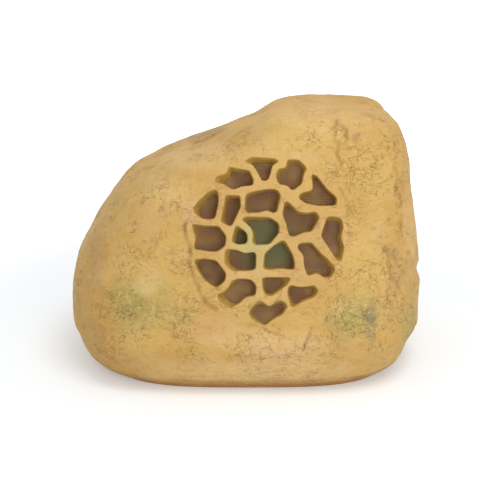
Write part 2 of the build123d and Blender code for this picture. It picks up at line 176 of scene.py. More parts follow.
def cloud(at, size, detail=3.0, roughness=0.55, distortion=0.0):
    # noise with patches of about this size in millimetres
    inputs = {"Vector": at, "Scale": 1 / (size * millimetre), "Detail": detail,
              "Roughness": roughness, "Distortion": distortion}
    return addNode(at.id_data, "ShaderNodeTexNoise", inputs).outputs["Fac"]


def band(value, low, high, bottom=0.0, top=1.0):
    # smooth step from bottom at low to top at high
    inputs = {"Value": value, "From Min": low, "From Max": high, "To Min": bottom, "To Max": top}
    made = addNode(value.id_data, "ShaderNodeMapRange", inputs, interpolation_type="SMOOTHSTEP")
    return made.outputs["Result"]


def worked(operation, first, second=0.0, **settings):
    # one step of arithmetic
    inputs = {0: first, 1: second}
    return addNode(first.id_data, "ShaderNodeMath", inputs, operation=operation, **settings).outputs[0]


def times(first, second):
    # product
    return worked("MULTIPLY", first, second)


def plus(first, second):
    # sum, no more than 1
    return worked("ADD", first, second, use_clamp=True)


def mixed(share, first, second):
    # first colour where the share is 0, second where it is 1
    inputs = {0: share, 6: first, 7: second}
    return addNode(share.id_data, "ShaderNodeMix", inputs, data_type="RGBA").outputs[2]


def scaled(at, scale):
    # coordinates in which a pattern is drawn out or pressed together
    return addNode(at.id_data, "ShaderNodeMapping", {"Vector": at, "Scale": scale}).outputs["Vector"]


def attributeOf(at, name):
    # the number that the piece keeps for each point
    return addNode(at.id_data, "ShaderNodeAttribute", attribute_name=name).outputs["Fac"]


def bump(shader, height, depth):
    # fine surface, so many millimetres deep
    made = addNode(height.id_data, "ShaderNodeBump", {"Height": height, "Distance": depth * millimetre})
    join(made.outputs["Normal"], shader, "Normal")


# The rock: outside, openings of the web, hollow and rim as one closed surface

rockForm = {
    # share of the height, then reach left, right, front and back as shares of half the size
    "levels": [
        (0.0, 0.79, 0.82, 0.78, 0.86), (0.05, 0.93, 0.93, 0.87, 0.95), (0.19, 1.0, 1.0, 1.0, 1.0),
        (0.29, 1.0, 1.0, 0.97, 1.0), (0.39, 0.985, 1.0, 0.935, 0.985), (0.49, 0.92, 0.99, 0.895, 0.96),
        (0.58, 0.835, 0.975, 0.845, 0.92), (0.72, 0.67, 0.94, 0.76, 0.82), (0.81, 0.41, 0.92, 0.69, 0.72),
        (0.88, 0.145, 0.885, 0.61, 0.61), (0.94, -0.045, 0.835, 0.51, 0.48),
        (0.983, -0.155, 0.75, 0.39, 0.36), (0.997, -0.255, 0.55, 0.22, 0.2),
        (1.0, -0.4025, 0.4025, 0.01, -0.01),
    ],
    "frontSquareness": 3.3, "backSquareness": 2.5, "wall": 7.0,
    "columns": 460, "closerInFront": 0.3, "outerRows": 168,
    "innerRows": 18, "innerTop": 0.93, "innerLow": 0.10,
    "rimWidth": 6.0, "recess": 9.0, "flange": 18.0, "flangeTop": 16.0,
    "seatRadius": 99.0, "pocketRadius": 86.6, "sharpAngle": 62,
}

webForm = {
    # corners of each opening, right and up from the driver's axis: on the lip, then on the floor of its wall
    "openings": [
        [(-51, 58.5, -43.5, 57.8), (-48.5, 63, -40.5, 59.8), (-39, 65.5, -36, 62),
         (-36.5, 72.3, -33.8, 68.9), (-31, 71, -30.5, 67.3), (-17, 68.7, -17.3, 67),
         (-12.8, 59.5, -13.8, 59.5), (-13.3, 54.3, -14, 54.8), (-25, 53.3, -25, 53.8),
         (-30, 50.6, -30, 51.2), (-35, 50.8, -35, 51.4), (-42, 56.2, -41, 56), (-48.5, 56.3, -43, 57)],
        [(-22, 76.8, -15, 76.6), (-15, 81.3, -13, 77), (8, 79.8, 4, 76.8), (11.5, 77, 6, 75.8),
         (5.2, 73.5, 4.6, 73), (3, 64, 2.4, 64), (0.5, 58.5, 0, 59.3), (-5, 58.3, -4.5, 59.2),
         (-10.3, 68.5, -9.6, 68.5), (-14, 74, -13, 73.8)],
        [(19.3, 79, 21, 76.2), (30.5, 79.3, 29.3, 76.3), (38.3, 71, 35.3, 70.3), (34.8, 64, 34, 64),
         (33.8, 56, 33, 56.2), (25.5, 49.3, 25, 50.2), (22.5, 50.3, 22.6, 51), (19.5, 54, 19.5, 54.8),
         (11.5, 55, 12.2, 56), (7.8, 62.5, 10.8, 62.3), (10.8, 70.3, 13.5, 68), (18, 71, 20.5, 69.5)],
        [(42.3, 64.8, 44.5, 62.3), (47.3, 64, 47.5, 61.5), (58, 50, 57, 50), (67, 42.5, 65.3, 42),
         (66.5, 35, 65.2, 35.6), (50, 34.5, 50, 35.2), (36.5, 37, 36.5, 37.8), (29.5, 42.3, 32.5, 42),
         (32, 46.8, 35, 45), (43.8, 49.8, 44.8, 48.8), (43.3, 57, 44.7, 56.5)],
        [(-72, 32, -65.5, 32.5), (-66.5, 38.5, -60, 38), (-55.5, 48.5, -54, 44.5), (-48, 50.3, -48.8, 46),
         (-46.3, 42, -47.2, 42), (-47, 34.5, -47.8, 34.5), (-50.2, 22, -50.6, 22.8), (-60, 21.5, -60, 22.3),
         (-68.5, 26, -65.5, 25.2)],
        [(-40, 44.8, -37.2, 41.6), (-25.8, 44.6, -26.6, 42), (-25.2, 33.5, -25.9, 33.5),
         (-33.8, 15.3, -34.2, 16.3), (-37, 15.2, -37, 16.2), (-44.8, 19.5, -41.2, 19.8),
         (-42, 32, -39, 32)],
        [(-20.8, 45.5, -18.3, 43.8), (-14, 48.3, -13.5, 46), (0, 50.8, 0, 48.9), (9.5, 50.3, 8.5, 48.8),
         (13.2, 44.8, 11, 44.5), (9.3, 28.3, 8.2, 29.2), (5, 27.6, 5, 28.6), (0.5, 30.6, 0.5, 31.2),
         (-8, 28, -8, 28.8), (-19.5, 27.8, -18.3, 28.6), (-22, 31, -19.5, 31)],
        [(16.8, 39, 18, 35), (20.5, 38.3, 21.5, 34), (29, 29.5, 28.5, 27), (37, 27.6, 36, 25.3),
         (46.5, 29.3, 45.3, 26.5), (50.7, 23.5, 47.3, 22.5), (43, 9.8, 42.3, 10.6), (35, 9, 35, 9.7),
         (25.5, 4.6, 25.5, 5.5), (20.8, 6, 21.3, 6.7), (18.3, 17, 19, 17), (14.3, 26, 16.5, 25.5)],
        [(57.3, 24, 58, 21.5), (63, 24.6, 63, 21), (71.5, 22.3, 69, 19), (73.3, 14, 70.3, 13.5),
         (70.6, 3.5, 67.8, 4.5), (74.3, -5, 70.3, -5), (71.5, -18.8, 67.8, -15), (67, -18, 66, -14.5),
         (60.5, -7.5, 61, -7), (51.5, 5.5, 52.8, 6)],
        [(-72.8, 17.5, -67, 14.5), (-62, 15.8, -60, 14), (-46, 15.2, -47, 14), (-39, 5.5, -40, 5.5),
         (-40, -4, -41, -3.5), (-48, -9.7, -48.5, -8.9), (-56, -9.3, -56, -8.6), (-70, -7.2, -69.3, -6.5),
         (-70.2, -4, -69, -3), (-68.5, 3.5, -66.8, 3.5), (-70.8, 11, -67.2, 9)],
        [(-29.8, 16, -27.8, 10.5), (-26, 14, -25.3, 11.3), (-20, 9.5, -20.6, 9.3), (-18.3, 4, -18.9, 4),
         (-19.5, -1.7, -20, -1.2), (-28.5, -2.7, -28, -2.2), (-34.5, 0.5, -30.3, 0),
         (-32.3, 9, -29.2, 6.5)],
        [(-25, 22, -19.5, 19.3), (-20.5, 24.4, -15, 20.6), (3, 23.6, 3, 21.8), (11.3, 18, 10.3, 17.5),
         (11.8, 9, 10.8, 9), (2.5, -2.5, 2.2, -1.8), (-11.5, -3, -10, -2.3), (-14.8, 0, -11.3, 1),
         (-13.3, 7, -11.2, 7), (-16, 14, -14, 14), (-20.5, 18.3, -18.5, 17)],
        [(-2.5, -11, -1, -11), (6, -3.5, 7, -4), (14.5, 1.8, 13.8, -1.2), (17.5, 0.5, 16.5, -2),
         (24.8, -12.5, 24, -13), (26.8, -21, 25.8, -21), (26, -27, 25, -25.8), (12, -25.6, 12, -24.8),
         (3, -27, 2.5, -25.4), (-4.2, -26, -1.5, -24.5)],
        [(28.8, -6, 29.8, -5.5), (30.5, -1.2, 31.5, -3.2), (42.5, -0.3, 42, -2.3),
         (51.5, -10.8, 50.3, -11.5), (60, -18, 57.2, -20), (65.8, -26.5, 61.8, -27), (61, -35, 59.8, -33),
         (54, -34.5, 54.5, -33.3), (48, -29.8, 48, -29), (38.8, -33, 39.3, -31.8), (35, -22, 35.8, -22),
         (35, -13, 35.8, -13)],
        [(-40, -6.5, -34.8, -8.2), (-30, -7.2, -28.5, -8.5), (-21, -10.9, -21.5, -11.9),
         (-12.5, -9.3, -12.8, -10), (-10.3, -12, -11, -12.5), (-10.8, -26.5, -11.6, -25.7),
         (-18, -28, -18, -27), (-34, -28, -30, -25.8), (-41, -21, -35.5, -21), (-41, -13, -36.5, -14)],
        [(-70.5, -17, -67.3, -19), (-60, -15.7, -61, -17), (-48.5, -17.8, -49, -18.7),
         (-39, -30.5, -40, -30.5), (-40.5, -37.8, -41.3, -37.3), (-48.8, -44.6, -49, -43.4),
         (-60.5, -36.5, -59.3, -36.3), (-66.5, -27.3, -65, -26.5)],
        [(-48.3, -50.5, -42.3, -50.8), (-39.5, -47, -37.5, -47.3), (-33.5, -36.8, -31, -38.3),
         (-27, -35, -26, -36.2), (-15.5, -35.8, -16, -36.7), (-10, -42, -10.9, -42.3),
         (-11, -51.5, -11.7, -50.8), (-20, -53, -20.3, -52.3), (-28, -60, -29, -59.5),
         (-36, -64, -33, -59.8), (-46.5, -56.5, -40.5, -54)],
        [(-5.3, -34.2, -2.5, -35.2), (5, -33.7, 5, -34.8), (23, -34, 14.5, -35.2),
         (19.5, -41.3, 15.6, -40.5), (9, -49, 8.3, -47), (5, -52, 4, -50), (-1, -52, -0.3, -49.6),
         (-4.3, -46, -2.2, -45)],
        [(20.8, -41.8, 22, -43.5), (24.5, -41.4, 25, -43.3), (30, -43.3, 30, -44.3), (39, -42.9, 39, -43.9),
         (45.5, -41.3, 43.8, -43.6), (49.6, -46.5, 45.7, -47), (46, -53, 43.5, -51.5), (35, -57, 34, -55),
         (29.5, -60, 28.5, -59.3), (23.5, -63.5, 25.3, -59.8), (19.3, -50, 21.3, -49.5)],
        [(-17, -66, -14.8, -66.3), (-10.5, -58.3, -10.3, -61.3), (-6.5, -56, -6, -59.7),
         (2.5, -62.3, 2.3, -63.4), (9, -56.7, 10, -59.6), (14, -55.8, 15, -59.6), (20, -61, 16, -61.5),
         (16, -69, 14.7, -68.5), (4.5, -75.4, 4.3, -74.6), (-1.8, -81, -2, -80), (-12, -76.5, -9.5, -75),
         (-17, -71, -14.7, -71)],
    ],
    "spacing": 1.2, "cornerReach": 2.8, "lipRound": 0.9, "roundRows": 3, "wallRows": 4,
    "reach": 92.0, "clear": 1.0, "shade": 1.0,
}

glandForm = {"pocketRadius": 15.0, "holeRadius": 8.2, "lip": 0.6, "face": 133.0, "pad": 124.0, "behind": 60.0,
             "points": 64, "reach": 21.0, "clear": 1.2, "shade": 0.3}


def throughLevels(knots, rows, at):
    # monotone cubic through the rows: slopes are weighted harmonic means, level where a column turns
    step = np.diff(knots)
    rise = np.diff(rows, axis=0) / step[:, None]
    before, after = rise[:-1], rise[1:]
    same = before * after > 0
    one = (2 * step[1:] + step[:-1])[:, None]
    two = (step[1:] + 2 * step[:-1])[:, None]
    mean = (one + two) / (one / np.where(same, before, 1) + two / np.where(same, after, 1))
    slope = np.concatenate([rise[:1], np.where(same, mean, 0), rise[-1:]])
    span = np.clip(np.searchsorted(knots, at) - 1, 0, len(step) - 1)
    width = step[span][..., None]
    u = (at[..., None] - knots[span][..., None]) / width
    start = rows[span] * (1 + 2 * u) * (1 - u) ** 2 + slope[span] * width * u * (1 - u) ** 2
    return start + rows[span + 1] * u ** 2 * (3 - 2 * u) - slope[span + 1] * width * u ** 2 * (1 - u)


levels = np.array(rockForm["levels"])
levelReach = levels[:, 1:].reshape(-1, 2, 2).sum(axis=2) * rockSize[:2] / 4
levelStep = np.hypot(np.diff(levels[:, 0]) * rockSize[2], np.diff(levelReach.mean(axis=1)))
levelKnots = np.concatenate([[0], np.cumsum(levelStep)]) / levelStep.sum()


def rockPoint(turn, rise, inset=0.0, sink=0.0):
    # each level is a superellipse round its own middle, squarer in front than behind
    share, left, right, front, back = np.moveaxis(throughLevels(levelKnots, levels, rise), -1, 0)
    power = np.where(np.sin(turn) > 0, rockForm["backSquareness"], rockForm["frontSquareness"])
    cosine, sine = np.cos(turn), np.sin(turn)
    radius = (np.abs(cosine) ** power + np.abs(sine) ** power) ** (-1 / power)
    halfWidth = np.maximum((left + right) * rockSize[0] / 4 - inset, 0)
    halfDepth = np.maximum((front + back) * rockSize[1] / 4 - inset, 0)
    x = (right - left) * rockSize[0] / 4 + halfWidth * radius * cosine
    y = (back - front) * rockSize[1] / 4 + halfDepth * radius * sine
    return np.stack([x, y, share * rockSize[2] - sink], axis=-1)


def rockNormal(turn, rise, step=1e-3):
    # cross product of the two directions along the surface, by small differences
    along = rockPoint(turn + step, rise) - rockPoint(turn - step, rise)
    upward = rockPoint(turn, np.minimum(rise + step, 1)) - rockPoint(turn, np.maximum(rise - step, 0))
    normal = np.cross(along, upward)
    return normal / np.maximum(np.linalg.norm(normal, axis=-1, keepdims=True), 1e-9)


def latticeNoise(points, size, seed):
    # smooth noise from -1 to 1: random values at the corners of cubes, blended by a quintic across each
    table = np.random.default_rng(seed).uniform(-1, 1, 4096)
    primes = (73856093, 19349663, 83492791)  # they scatter the cubes over the table
    cells = points / size
    cell = np.floor(cells).astype(np.int64)
    inside = cells - cell
    blend = inside ** 3 * (inside * (inside * 6 - 15) + 10)
    total = np.zeros(points.shape[:-1])
    for corner in np.ndindex(2, 2, 2):
        key = np.bitwise_xor.reduce((cell + corner) * primes, axis=-1)
        weight = np.where(np.array(corner) == 1, blend, 1 - blend).prod(axis=-1)
        total += weight * table[key % len(table)]
    return total


def waver(points, size, amount, seeds):
    # a shift of each point, with a noise for each direction
    return np.stack([latticeNoise(points, size, seed) for seed in seeds], axis=-1) * amount


def smoothStep(value, low, high):
    # 0 up to low, 1 from high on, and a cubic between
    share = np.clip((value - low) / (high - low), 0, 1)
    return share * share * (3 - 2 * share)


reliefForm = {
    # lumps and grain: size, height, seed, and the share of it that the web loses
    "lumps": [(85.0, 1.5, 11, 0.8), (30.0, 0.9, 12, 0.7), (11.0, 0.42, 13, 0.4), (5.0, 0.14, 14, 0.3)],
    "webEdge": (70, 92), "webBack": -40, "webFolds": 0.85, "sink": 0.3, "groundFade": (2, 16),
    # shallow hollows: size, depth, seed; the span of the noise, where they start behind and end above
    "hollows": (56.0, 2.6, 15), "hollowSpan": (-0.1, 0.7), "hollowBehind": (-30, 50), "hollowTop": (220, 262),
    # folds: size of the noise that they follow, width as a share of it, depth, seed
    "folds": [(26.0, 0.10, 0.80, 60), (15.0, 0.15, 0.65, 70), (9.0, 0.22, 0.45, 80)],
    "foldBend": (12.0, 5.0, (41, 42, 43)), "foldStretch": (0.75, 1.0, 1.2),
    "dashSize": 0.6, "dashSpan": (-0.05, 0.35), "patchSize": 40.0, "patchSpan": (0.0, 0.5),
    # parts of the front that are more wrinkled: middle, size, how much more
    "wrinkled": [
        ((98, 88), (46, 62), 0.22), ((-118, 44), (38, 28), 0.25), ((10, -100), (75, 20), 0.4),
        ((118, -38), (22, 42), 0.55), ((-85, -75), (24, 22), 0.35), ((-60, 104), (50, 16), 0.35),
        ((85, -78), (30, 24), 0.35), ((-122, -60), (38, 28), 0.3), ((75, 5), (20, 30), 0.3),
    ],
    # dents in the edge of the rock: middle, size, depth
    "dents": [
        ((152, -25), (18, 11), 3.6), ((-14, 136), (36, 12), 2.2), ((132, 134), (28, 18), 4.0),
        ((-118, 94), (52, 18), 2.8), ((-178, -92), (24, 22), 4.5), ((150, -106), (26, 24), 4.0),
    ],
    # the groove above the rolled rim: height, width, depth; then the noises that bend it and break it up
    "rimGroove": (11.0, 2.2, 0.7), "grooveBend": (40.0, 1.5, 34), "grooveBreak": (25.0, 0.4, 35),
    # drawn creases on the front: points right and up from the driver's axis, width, depth
    "creases": [
        ([(-79, 17), (-76, -6), (-74, -27), (-68, -43), (-60, -56), (-50, -65)], 2.2, 1.0),
        ([(42, -85), (39, -95), (35, -106)], 1.1, 1.0),
        ([(-1.5, -81), (-12, -82), (-26, -80)], 1.3, 0.6),
        ([(-1.5, -81), (3, -88), (12, -92), (23, -94)], 1.3, 0.6),
        ([(63, 112), (66, 117), (72, 115), (76, 108), (78, 101)], 2.0, 1.2),
        ([(64, 109), (67, 98), (66, 88), (71, 72)], 1.8, 0.7),
        ([(118, -20), (123, -30), (126, -38), (129, -47)], 1.6, 0.9),
        ([(109, -1), (117, -8), (125, -17)], 2.6, 0.7),
        ([(117, -46), (119, -53), (121, -60)], 1.5, 0.8),
        ([(-70, 98), (-60, 103), (-52, 107)], 1.6, 0.9),
        ([(-84, 92), (-72, 99), (-60, 100)], 1.6, 0.6),
        ([(-134, 61), (-126, 70), (-110, 80)], 1.6, 0.7),
        ([(96, 126), (105, 124), (116, 121)], 2.0, 0.7),
        ([(84, 104), (87, 99)], 2.4, 0.8),
        ([(-78, -55), (-80, -63), (-79, -70)], 1.2, 0.8),
        ([(70, 51), (75, 42), (77, 32), (76, 20), (80, 5)], 1.7, 0.6),
        ([(126, 74), (129, 60), (128, 48), (132, 34)], 1.7, 0.6),
        ([(-75, 79), (-70, 86), (-64, 84)], 1.4, 0.5),
    ],
    "creaseBend": (8.0, 2.6, (31, 32)), "creaseSwell": (7.0, 0.5, 33), "creaseMean": 0.95,
    "foldShade": 0.5, "creaseShade": 0.8, "grooveShade": 0.5,  # how dark the painted shade of each of them is
    # soft ellipses: the waver of their edge, where they start to fade, where they end, and how far back
    "spotBend": (16.0, 6.0, (51, 52)), "spotEdge": 0.25, "spotEnd": 1.15, "spotBehind": (20, 80),
}


def distanceToPath(flat, path):
    # shortest distance from each point to a row of straight pieces
    nearest = np.full(flat.shape[:-1], np.inf)
    for start, end in zip(np.array(path[:-1], float), np.array(path[1:], float)):
        way = end - start
        share = np.clip(((flat - start) @ way) / (way @ way), 0, 1)
        nearest = np.minimum(nearest, np.linalg.norm(flat - start - share[..., None] * way, axis=-1))
    return nearest


def spotsAt(points, spots, edge=reliefForm["spotEdge"]):
    # soft ellipses on the front, right and up from the driver's axis, each with its own strength
    flat = intoPlane(seat, points)[..., :2] + waver(points, *reliefForm["spotBend"])
    total = np.zeros(points.shape[:-1])
    for middle, size, amount in spots:
        away = np.linalg.norm((flat - middle) / size, axis=-1)
        total = np.maximum(total, amount * (1 - smoothStep(away, edge, reliefForm["spotEnd"])))
    return total * (1 - smoothStep(points[..., 1], *reliefForm["spotBehind"]))


def creaseAt(points):
    # depth of the drawn creases, wavering and swelling a little, on the front half only
    flat = intoPlane(seat, points)[..., :2] + waver(points, *reliefForm["creaseBend"])
    depth = np.zeros(points.shape[:-1])
    for path, width, deep in reliefForm["creases"]:
        depth = np.maximum(depth, deep * np.exp(-(distanceToPath(flat, path) / width) ** 2))
    size, amount, seed = reliefForm["creaseSwell"]
    swell = reliefForm["creaseMean"] + amount * latticeNoise(points, size, seed)
    return depth * swell * (points[..., 1] < 0)


def foldsAt(points):
    # short folds: thin lines where bent noise passes zero, broken into dashes and gathered in patches
    bent = (points + waver(points, *reliefForm["foldBend"])) * reliefForm["foldStretch"]
    more = spotsAt(points, reliefForm["wrinkled"])
    depth = np.zeros(points.shape[:-1])
    for size, width, deep, seed in reliefForm["folds"]:
        line = np.maximum(0, 1 - np.abs(latticeNoise(bent, size, seed)) / width)
        dash = latticeNoise(points, size * reliefForm["dashSize"], seed + 1)
        patch = latticeNoise(points, reliefForm["patchSize"], seed + 2) + more
        broken = smoothStep(dash, *reliefForm["dashSpan"]) * smoothStep(patch, *reliefForm["patchSpan"])
        depth = np.maximum(depth, deep * line * broken)
    return depth


def reliefAt(points):
    # height over the plain rock: lumps and grain, less hollows, folds, creases, dents and the groove,
    # quieter on the web and gone on the ground; and the painted shade in its folds, creases and groove
    web = intoPlane(seat, points)
    onWeb = 1 - smoothStep(np.hypot(web[..., 0], web[..., 1]), *reliefForm["webEdge"])
    onWeb = onWeb * (web[..., 2] > reliefForm["webBack"])
    height = np.full(points.shape[:-1], -reliefForm["sink"])
    for size, amount, seed, calm in reliefForm["lumps"]:
        height += amount * latticeNoise(points, size, seed) * (1 - calm * onWeb)
    size, amount, seed = reliefForm["hollows"]
    hollow = smoothStep(latticeNoise(points, size, seed), *reliefForm["hollowSpan"])
    hollow = hollow * smoothStep(points[..., 1], *reliefForm["hollowBehind"])
    height -= amount * hollow * (1 - smoothStep(points[..., 2], *reliefForm["hollowTop"]))
    folds, crease = foldsAt(points) * (1 - reliefForm["webFolds"] * onWeb), creaseAt(points)
    height -= folds + crease + spotsAt(points, reliefForm["dents"], 0.0)
    place, width, deep = reliefForm["rimGroove"]
    size, amount, seed = reliefForm["grooveBend"]
    line = points[..., 2] - place - amount * latticeNoise(points, size, seed)
    size, amount, seed = reliefForm["grooveBreak"]
    groove = deep * np.exp(-(line / width) ** 2) * (1 - amount + amount * latticeNoise(points, size, seed))
    shade = np.maximum(folds * reliefForm["foldShade"], crease * reliefForm["creaseShade"])
    height = height * smoothStep(points[..., 2], *reliefForm["groundFade"]) - groove
    return height, shade + groove * reliefForm["grooveShade"]


def bentCorners(corners, reach, most, shares):
    # each corner of a closed line becomes a parabola between points set back along its two sides
    sides = np.roll(corners, 1, axis=0) - corners, np.roll(corners, -1, axis=0) - corners
    setBack = [np.minimum(most, reach / np.linalg.norm(side, axis=1, keepdims=True)) for side in sides]
    start, end = corners + sides[0] * setBack[0], corners + sides[1] * setBack[1]
    u = shares[None, :, None]
    curve = start[:, None] * (1 - u) ** 2 + 2 * corners[:, None] * u * (1 - u) + end[:, None] * u ** 2
    return start, end, curve


def roundedOutline(corners, reach, most=0.45, steps=8):
    # parabolas at the corners and straight sides between them
    shares = np.linspace(0, 1, steps, endpoint=False)
    start, end, curve = bentCorners(corners, reach, most, shares)
    along = shares[None, :, None]
    side = end[:, None] * (1 - along) + np.roll(start, -1, axis=0)[:, None] * along
    return np.concatenate([curve, side], axis=1).reshape(-1, 2)


def signedArea(loop):
    # twice the area inside a closed line, positive where the line runs anticlockwise
    after = np.roll(loop, -1, axis=0)
    return (loop[:, 0] * after[:, 1] - after[:, 0] * loop[:, 1]).sum()


def openingLoops(outline, spacing, reach):
    # lip and floor of one opening, point for point, evenly spaced along the lip and anticlockwise
    outline = np.array(outline, float)
    lines = [roundedOutline(outline[:, :2], reach), roundedOutline(outline[:, 2:], reach)]
    both = np.concatenate(lines, axis=1)
    closed = np.concatenate([both, both[:1]])
    along = np.concatenate([[0], np.cumsum(np.linalg.norm(np.diff(closed[:, :2], axis=0), axis=1))])
    places = np.linspace(0, along[-1], int(along[-1] / spacing), endpoint=False)
    loop = np.stack([np.interp(places, along, closed[:, axis]) for axis in range(4)], axis=-1)
    loop = loop if signedArea(loop) > 0 else loop[::-1]
    return loop[:, :2], loop[:, 2:]


def softened(values, passes=4):
    # each value averaged with its neighbours round the loop, a few times over
    for _ in range(passes):
        values = (np.roll(values, 1) + 2 * values + np.roll(values, -1)) / 4
    return values


def outwardOf(loop, distance, shareOfBend=0.55):
    # outward directions, and how far the loop can move out without folding over itself
    tangent = np.roll(loop, -1, axis=0) - np.roll(loop, 1, axis=0)
    length = np.linalg.norm(tangent, axis=1)
    normal = np.stack([tangent[:, 1], -tangent[:, 0]], axis=-1) / length[:, None]
    change = np.roll(normal, -1, axis=0) - np.roll(normal, 1, axis=0)
    turning = (change * tangent).sum(axis=1) / length ** 2
    return normal, softened(np.minimum(distance, shareOfBend / np.maximum(-turning, 1e-3)))


def insideLoop(points, loop):
    # even-odd rule: count the loop's sides that a ray to the right crosses
    x, y = points[:, 0, None], points[:, 1, None]
    after = np.roll(loop, -1, axis=0)
    crosses = (loop[:, 1] > y) != (after[:, 1] > y)
    rise = np.where(after[:, 1] == loop[:, 1], 1e-12, after[:, 1] - loop[:, 1])
    meets = loop[:, 0] + (y - loop[:, 1]) * (after[:, 0] - loop[:, 0]) / rise
    return (crosses & (x < meets)).sum(axis=1) % 2 == 1


def nearLoop(points, loop, margin=0.0):
    # whether each point is in the loop's box, with a margin round it
    return ((points > loop.min(axis=0) - margin) & (points < loop.max(axis=0) + margin)).all(axis=1)


def pierced(ids, flat, loops, loopIds, clear):
    # triangles that fill a block of the grid round its loops, in the order of the plane's right and up
    rim = np.concatenate([ids[0, :-1], ids[:-1, -1], ids[-1, :0:-1], ids[:0:-1, 0]])
    rimFlat = np.concatenate([flat[0, :-1], flat[:-1, -1], flat[-1, :0:-1], flat[:0:-1, 0]])
    inner, innerNames = flat[1:-1, 1:-1].reshape(-1, 2), ids[1:-1, 1:-1].ravel()
    keep = np.ones(len(inner), bool)
    for loop in loops:
        near = nearLoop(inner, loop, clear)
        gap = np.linalg.norm(inner[near][:, None] - loop[None], axis=-1).min(axis=1)
        keep[near] &= ~insideLoop(inner[near], loop) & (gap > clear)
    rings = [rimFlat] + list(loops)
    coords = np.concatenate(rings + [inner[keep]])
    names = np.concatenate([rim] + list(loopIds) + [innerNames[keep]])
    edges, first = [], 0
    for ring in rings:
        order = np.arange(len(ring))
        edges += (first + np.stack([order, np.roll(order, -1)], axis=-1)).tolist()
        first += len(ring)
    found = delaunay_2d_cdt([Vector(place) for place in coords.tolist()], edges, [], 0, 1e-5)
    source = np.array([(origin or [-1])[0] for origin in found[3]])  # -1 is a point that it added
    tris = source[np.array(found[2])]
    tris = tris[(tris >= 0).all(axis=1)]
    middle = coords[tris].mean(axis=1)
    solid = insideLoop(middle, rimFlat)
    for loop in loops:
        near = nearLoop(middle, loop)
        solid[near] &= ~insideLoop(middle[near], loop)
    return names[tris[solid]]


def blockRound(flat, facing, reach):
    # rows and columns of the grid that hold every point within reach of the plane's middle
    close = (np.hypot(flat[..., 0], flat[..., 1]) < reach) & facing
    rowsIn, columnsIn = np.flatnonzero(close.any(axis=1)), np.flatnonzero(close.any(axis=0))
    lastRow = min(rowsIn[-1] + 1, len(flat) - 1)
    return slice(rowsIn[0] - 1, lastRow + 1), slice(columnsIn[0] - 1, columnsIn[-1] + 2)


def onRock(place, targets, turns, rises, block, step=1e-4, tries=8, highest=0.999):
    # turn and rise at which the rock's surface lies straight over each target, by Newton's steps
    flat = intoPlane(place, rockPoint(turns[block], rises[block]))[..., :2].reshape(-1, 2)
    nearest = np.linalg.norm(targets[:, None] - flat[None], axis=-1).argmin(axis=1)
    turn, rise = turns[block].ravel()[nearest], rises[block].ravel()[nearest]
    for _ in range(tries):
        here = intoPlane(place, rockPoint(turn, rise))[:, :2]
        byTurn = (intoPlane(place, rockPoint(turn + step, rise))[:, :2] - here) / step
        byRise = (intoPlane(place, rockPoint(turn, rise + step))[:, :2] - here) / step
        miss = targets - here
        area = byTurn[:, 0] * byRise[:, 1] - byTurn[:, 1] * byRise[:, 0]
        turn = turn + (miss[:, 0] * byRise[:, 1] - miss[:, 1] * byRise[:, 0]) / area
        rise = rise + (byTurn[:, 0] * miss[:, 1] - byTurn[:, 1] * miss[:, 0]) / area
        rise = np.clip(rise, 0, highest)
    return turn, rise


# Outer and inner grids, then the rows under the rim that join them
columns = rockForm["columns"]
evenTurn = np.arange(columns) / columns * fullTurn
turnRow = evenTurn - rockForm["closerInFront"] * np.cos(evenTurn)  # columns stand closer on the front
outerRise = np.linspace(0, 1, rockForm["outerRows"] + 1)[:-1]
innerRise = np.linspace(rockForm["innerTop"], rockForm["innerLow"], rockForm["innerRows"])
outerTurns, outerRises = np.meshgrid(turnRow, outerRise)
innerTurns, innerRises = np.meshgrid(turnRow, innerRise)
outerBase = rockPoint(outerTurns, outerRises)
outerNormals = rockNormal(outerTurns, outerRises)
outerRelief, outerCrease = reliefAt(outerBase)
outerPoints = outerBase + outerNormals * outerRelief[..., None]
innerPoints = rockPoint(innerTurns, innerRises, rockForm["wall"], rockForm["wall"])
innerPoints[..., 2] = np.maximum(innerPoints[..., 2], rockForm["flangeTop"])


def levelled(points, place, radius, side, lowest=0.0):
    # on one side of the rock, points within the radius of the plane's middle go onto the plane,
    # or stay behind it where lowest allows that
    flat = intoPlane(place, points)
    within = (np.hypot(flat[..., 0], flat[..., 1]) < radius) & side
    flat[..., 2] = np.where(within, np.clip(flat[..., 2], lowest, 0), flat[..., 2])
    return outOfPlane(place, flat)


# Inside, the wall is flat where the cloth and the gasket sit, and where the gland's nut does
gland = plane((glandHole[0], glandForm["pad"], glandHole[2]), (-1, 0, 0), (0, 1, 0))
inFront = innerPoints[..., 1] < 0
innerPoints = levelled(innerPoints, seat, rockForm["seatRadius"], inFront, -np.inf)
innerPoints = levelled(innerPoints, seat, rockForm["pocketRadius"], inFront)
behind = innerPoints[..., 1] > glandForm["behind"]
innerPoints = levelled(innerPoints, gland, glandForm["pocketRadius"], behind)

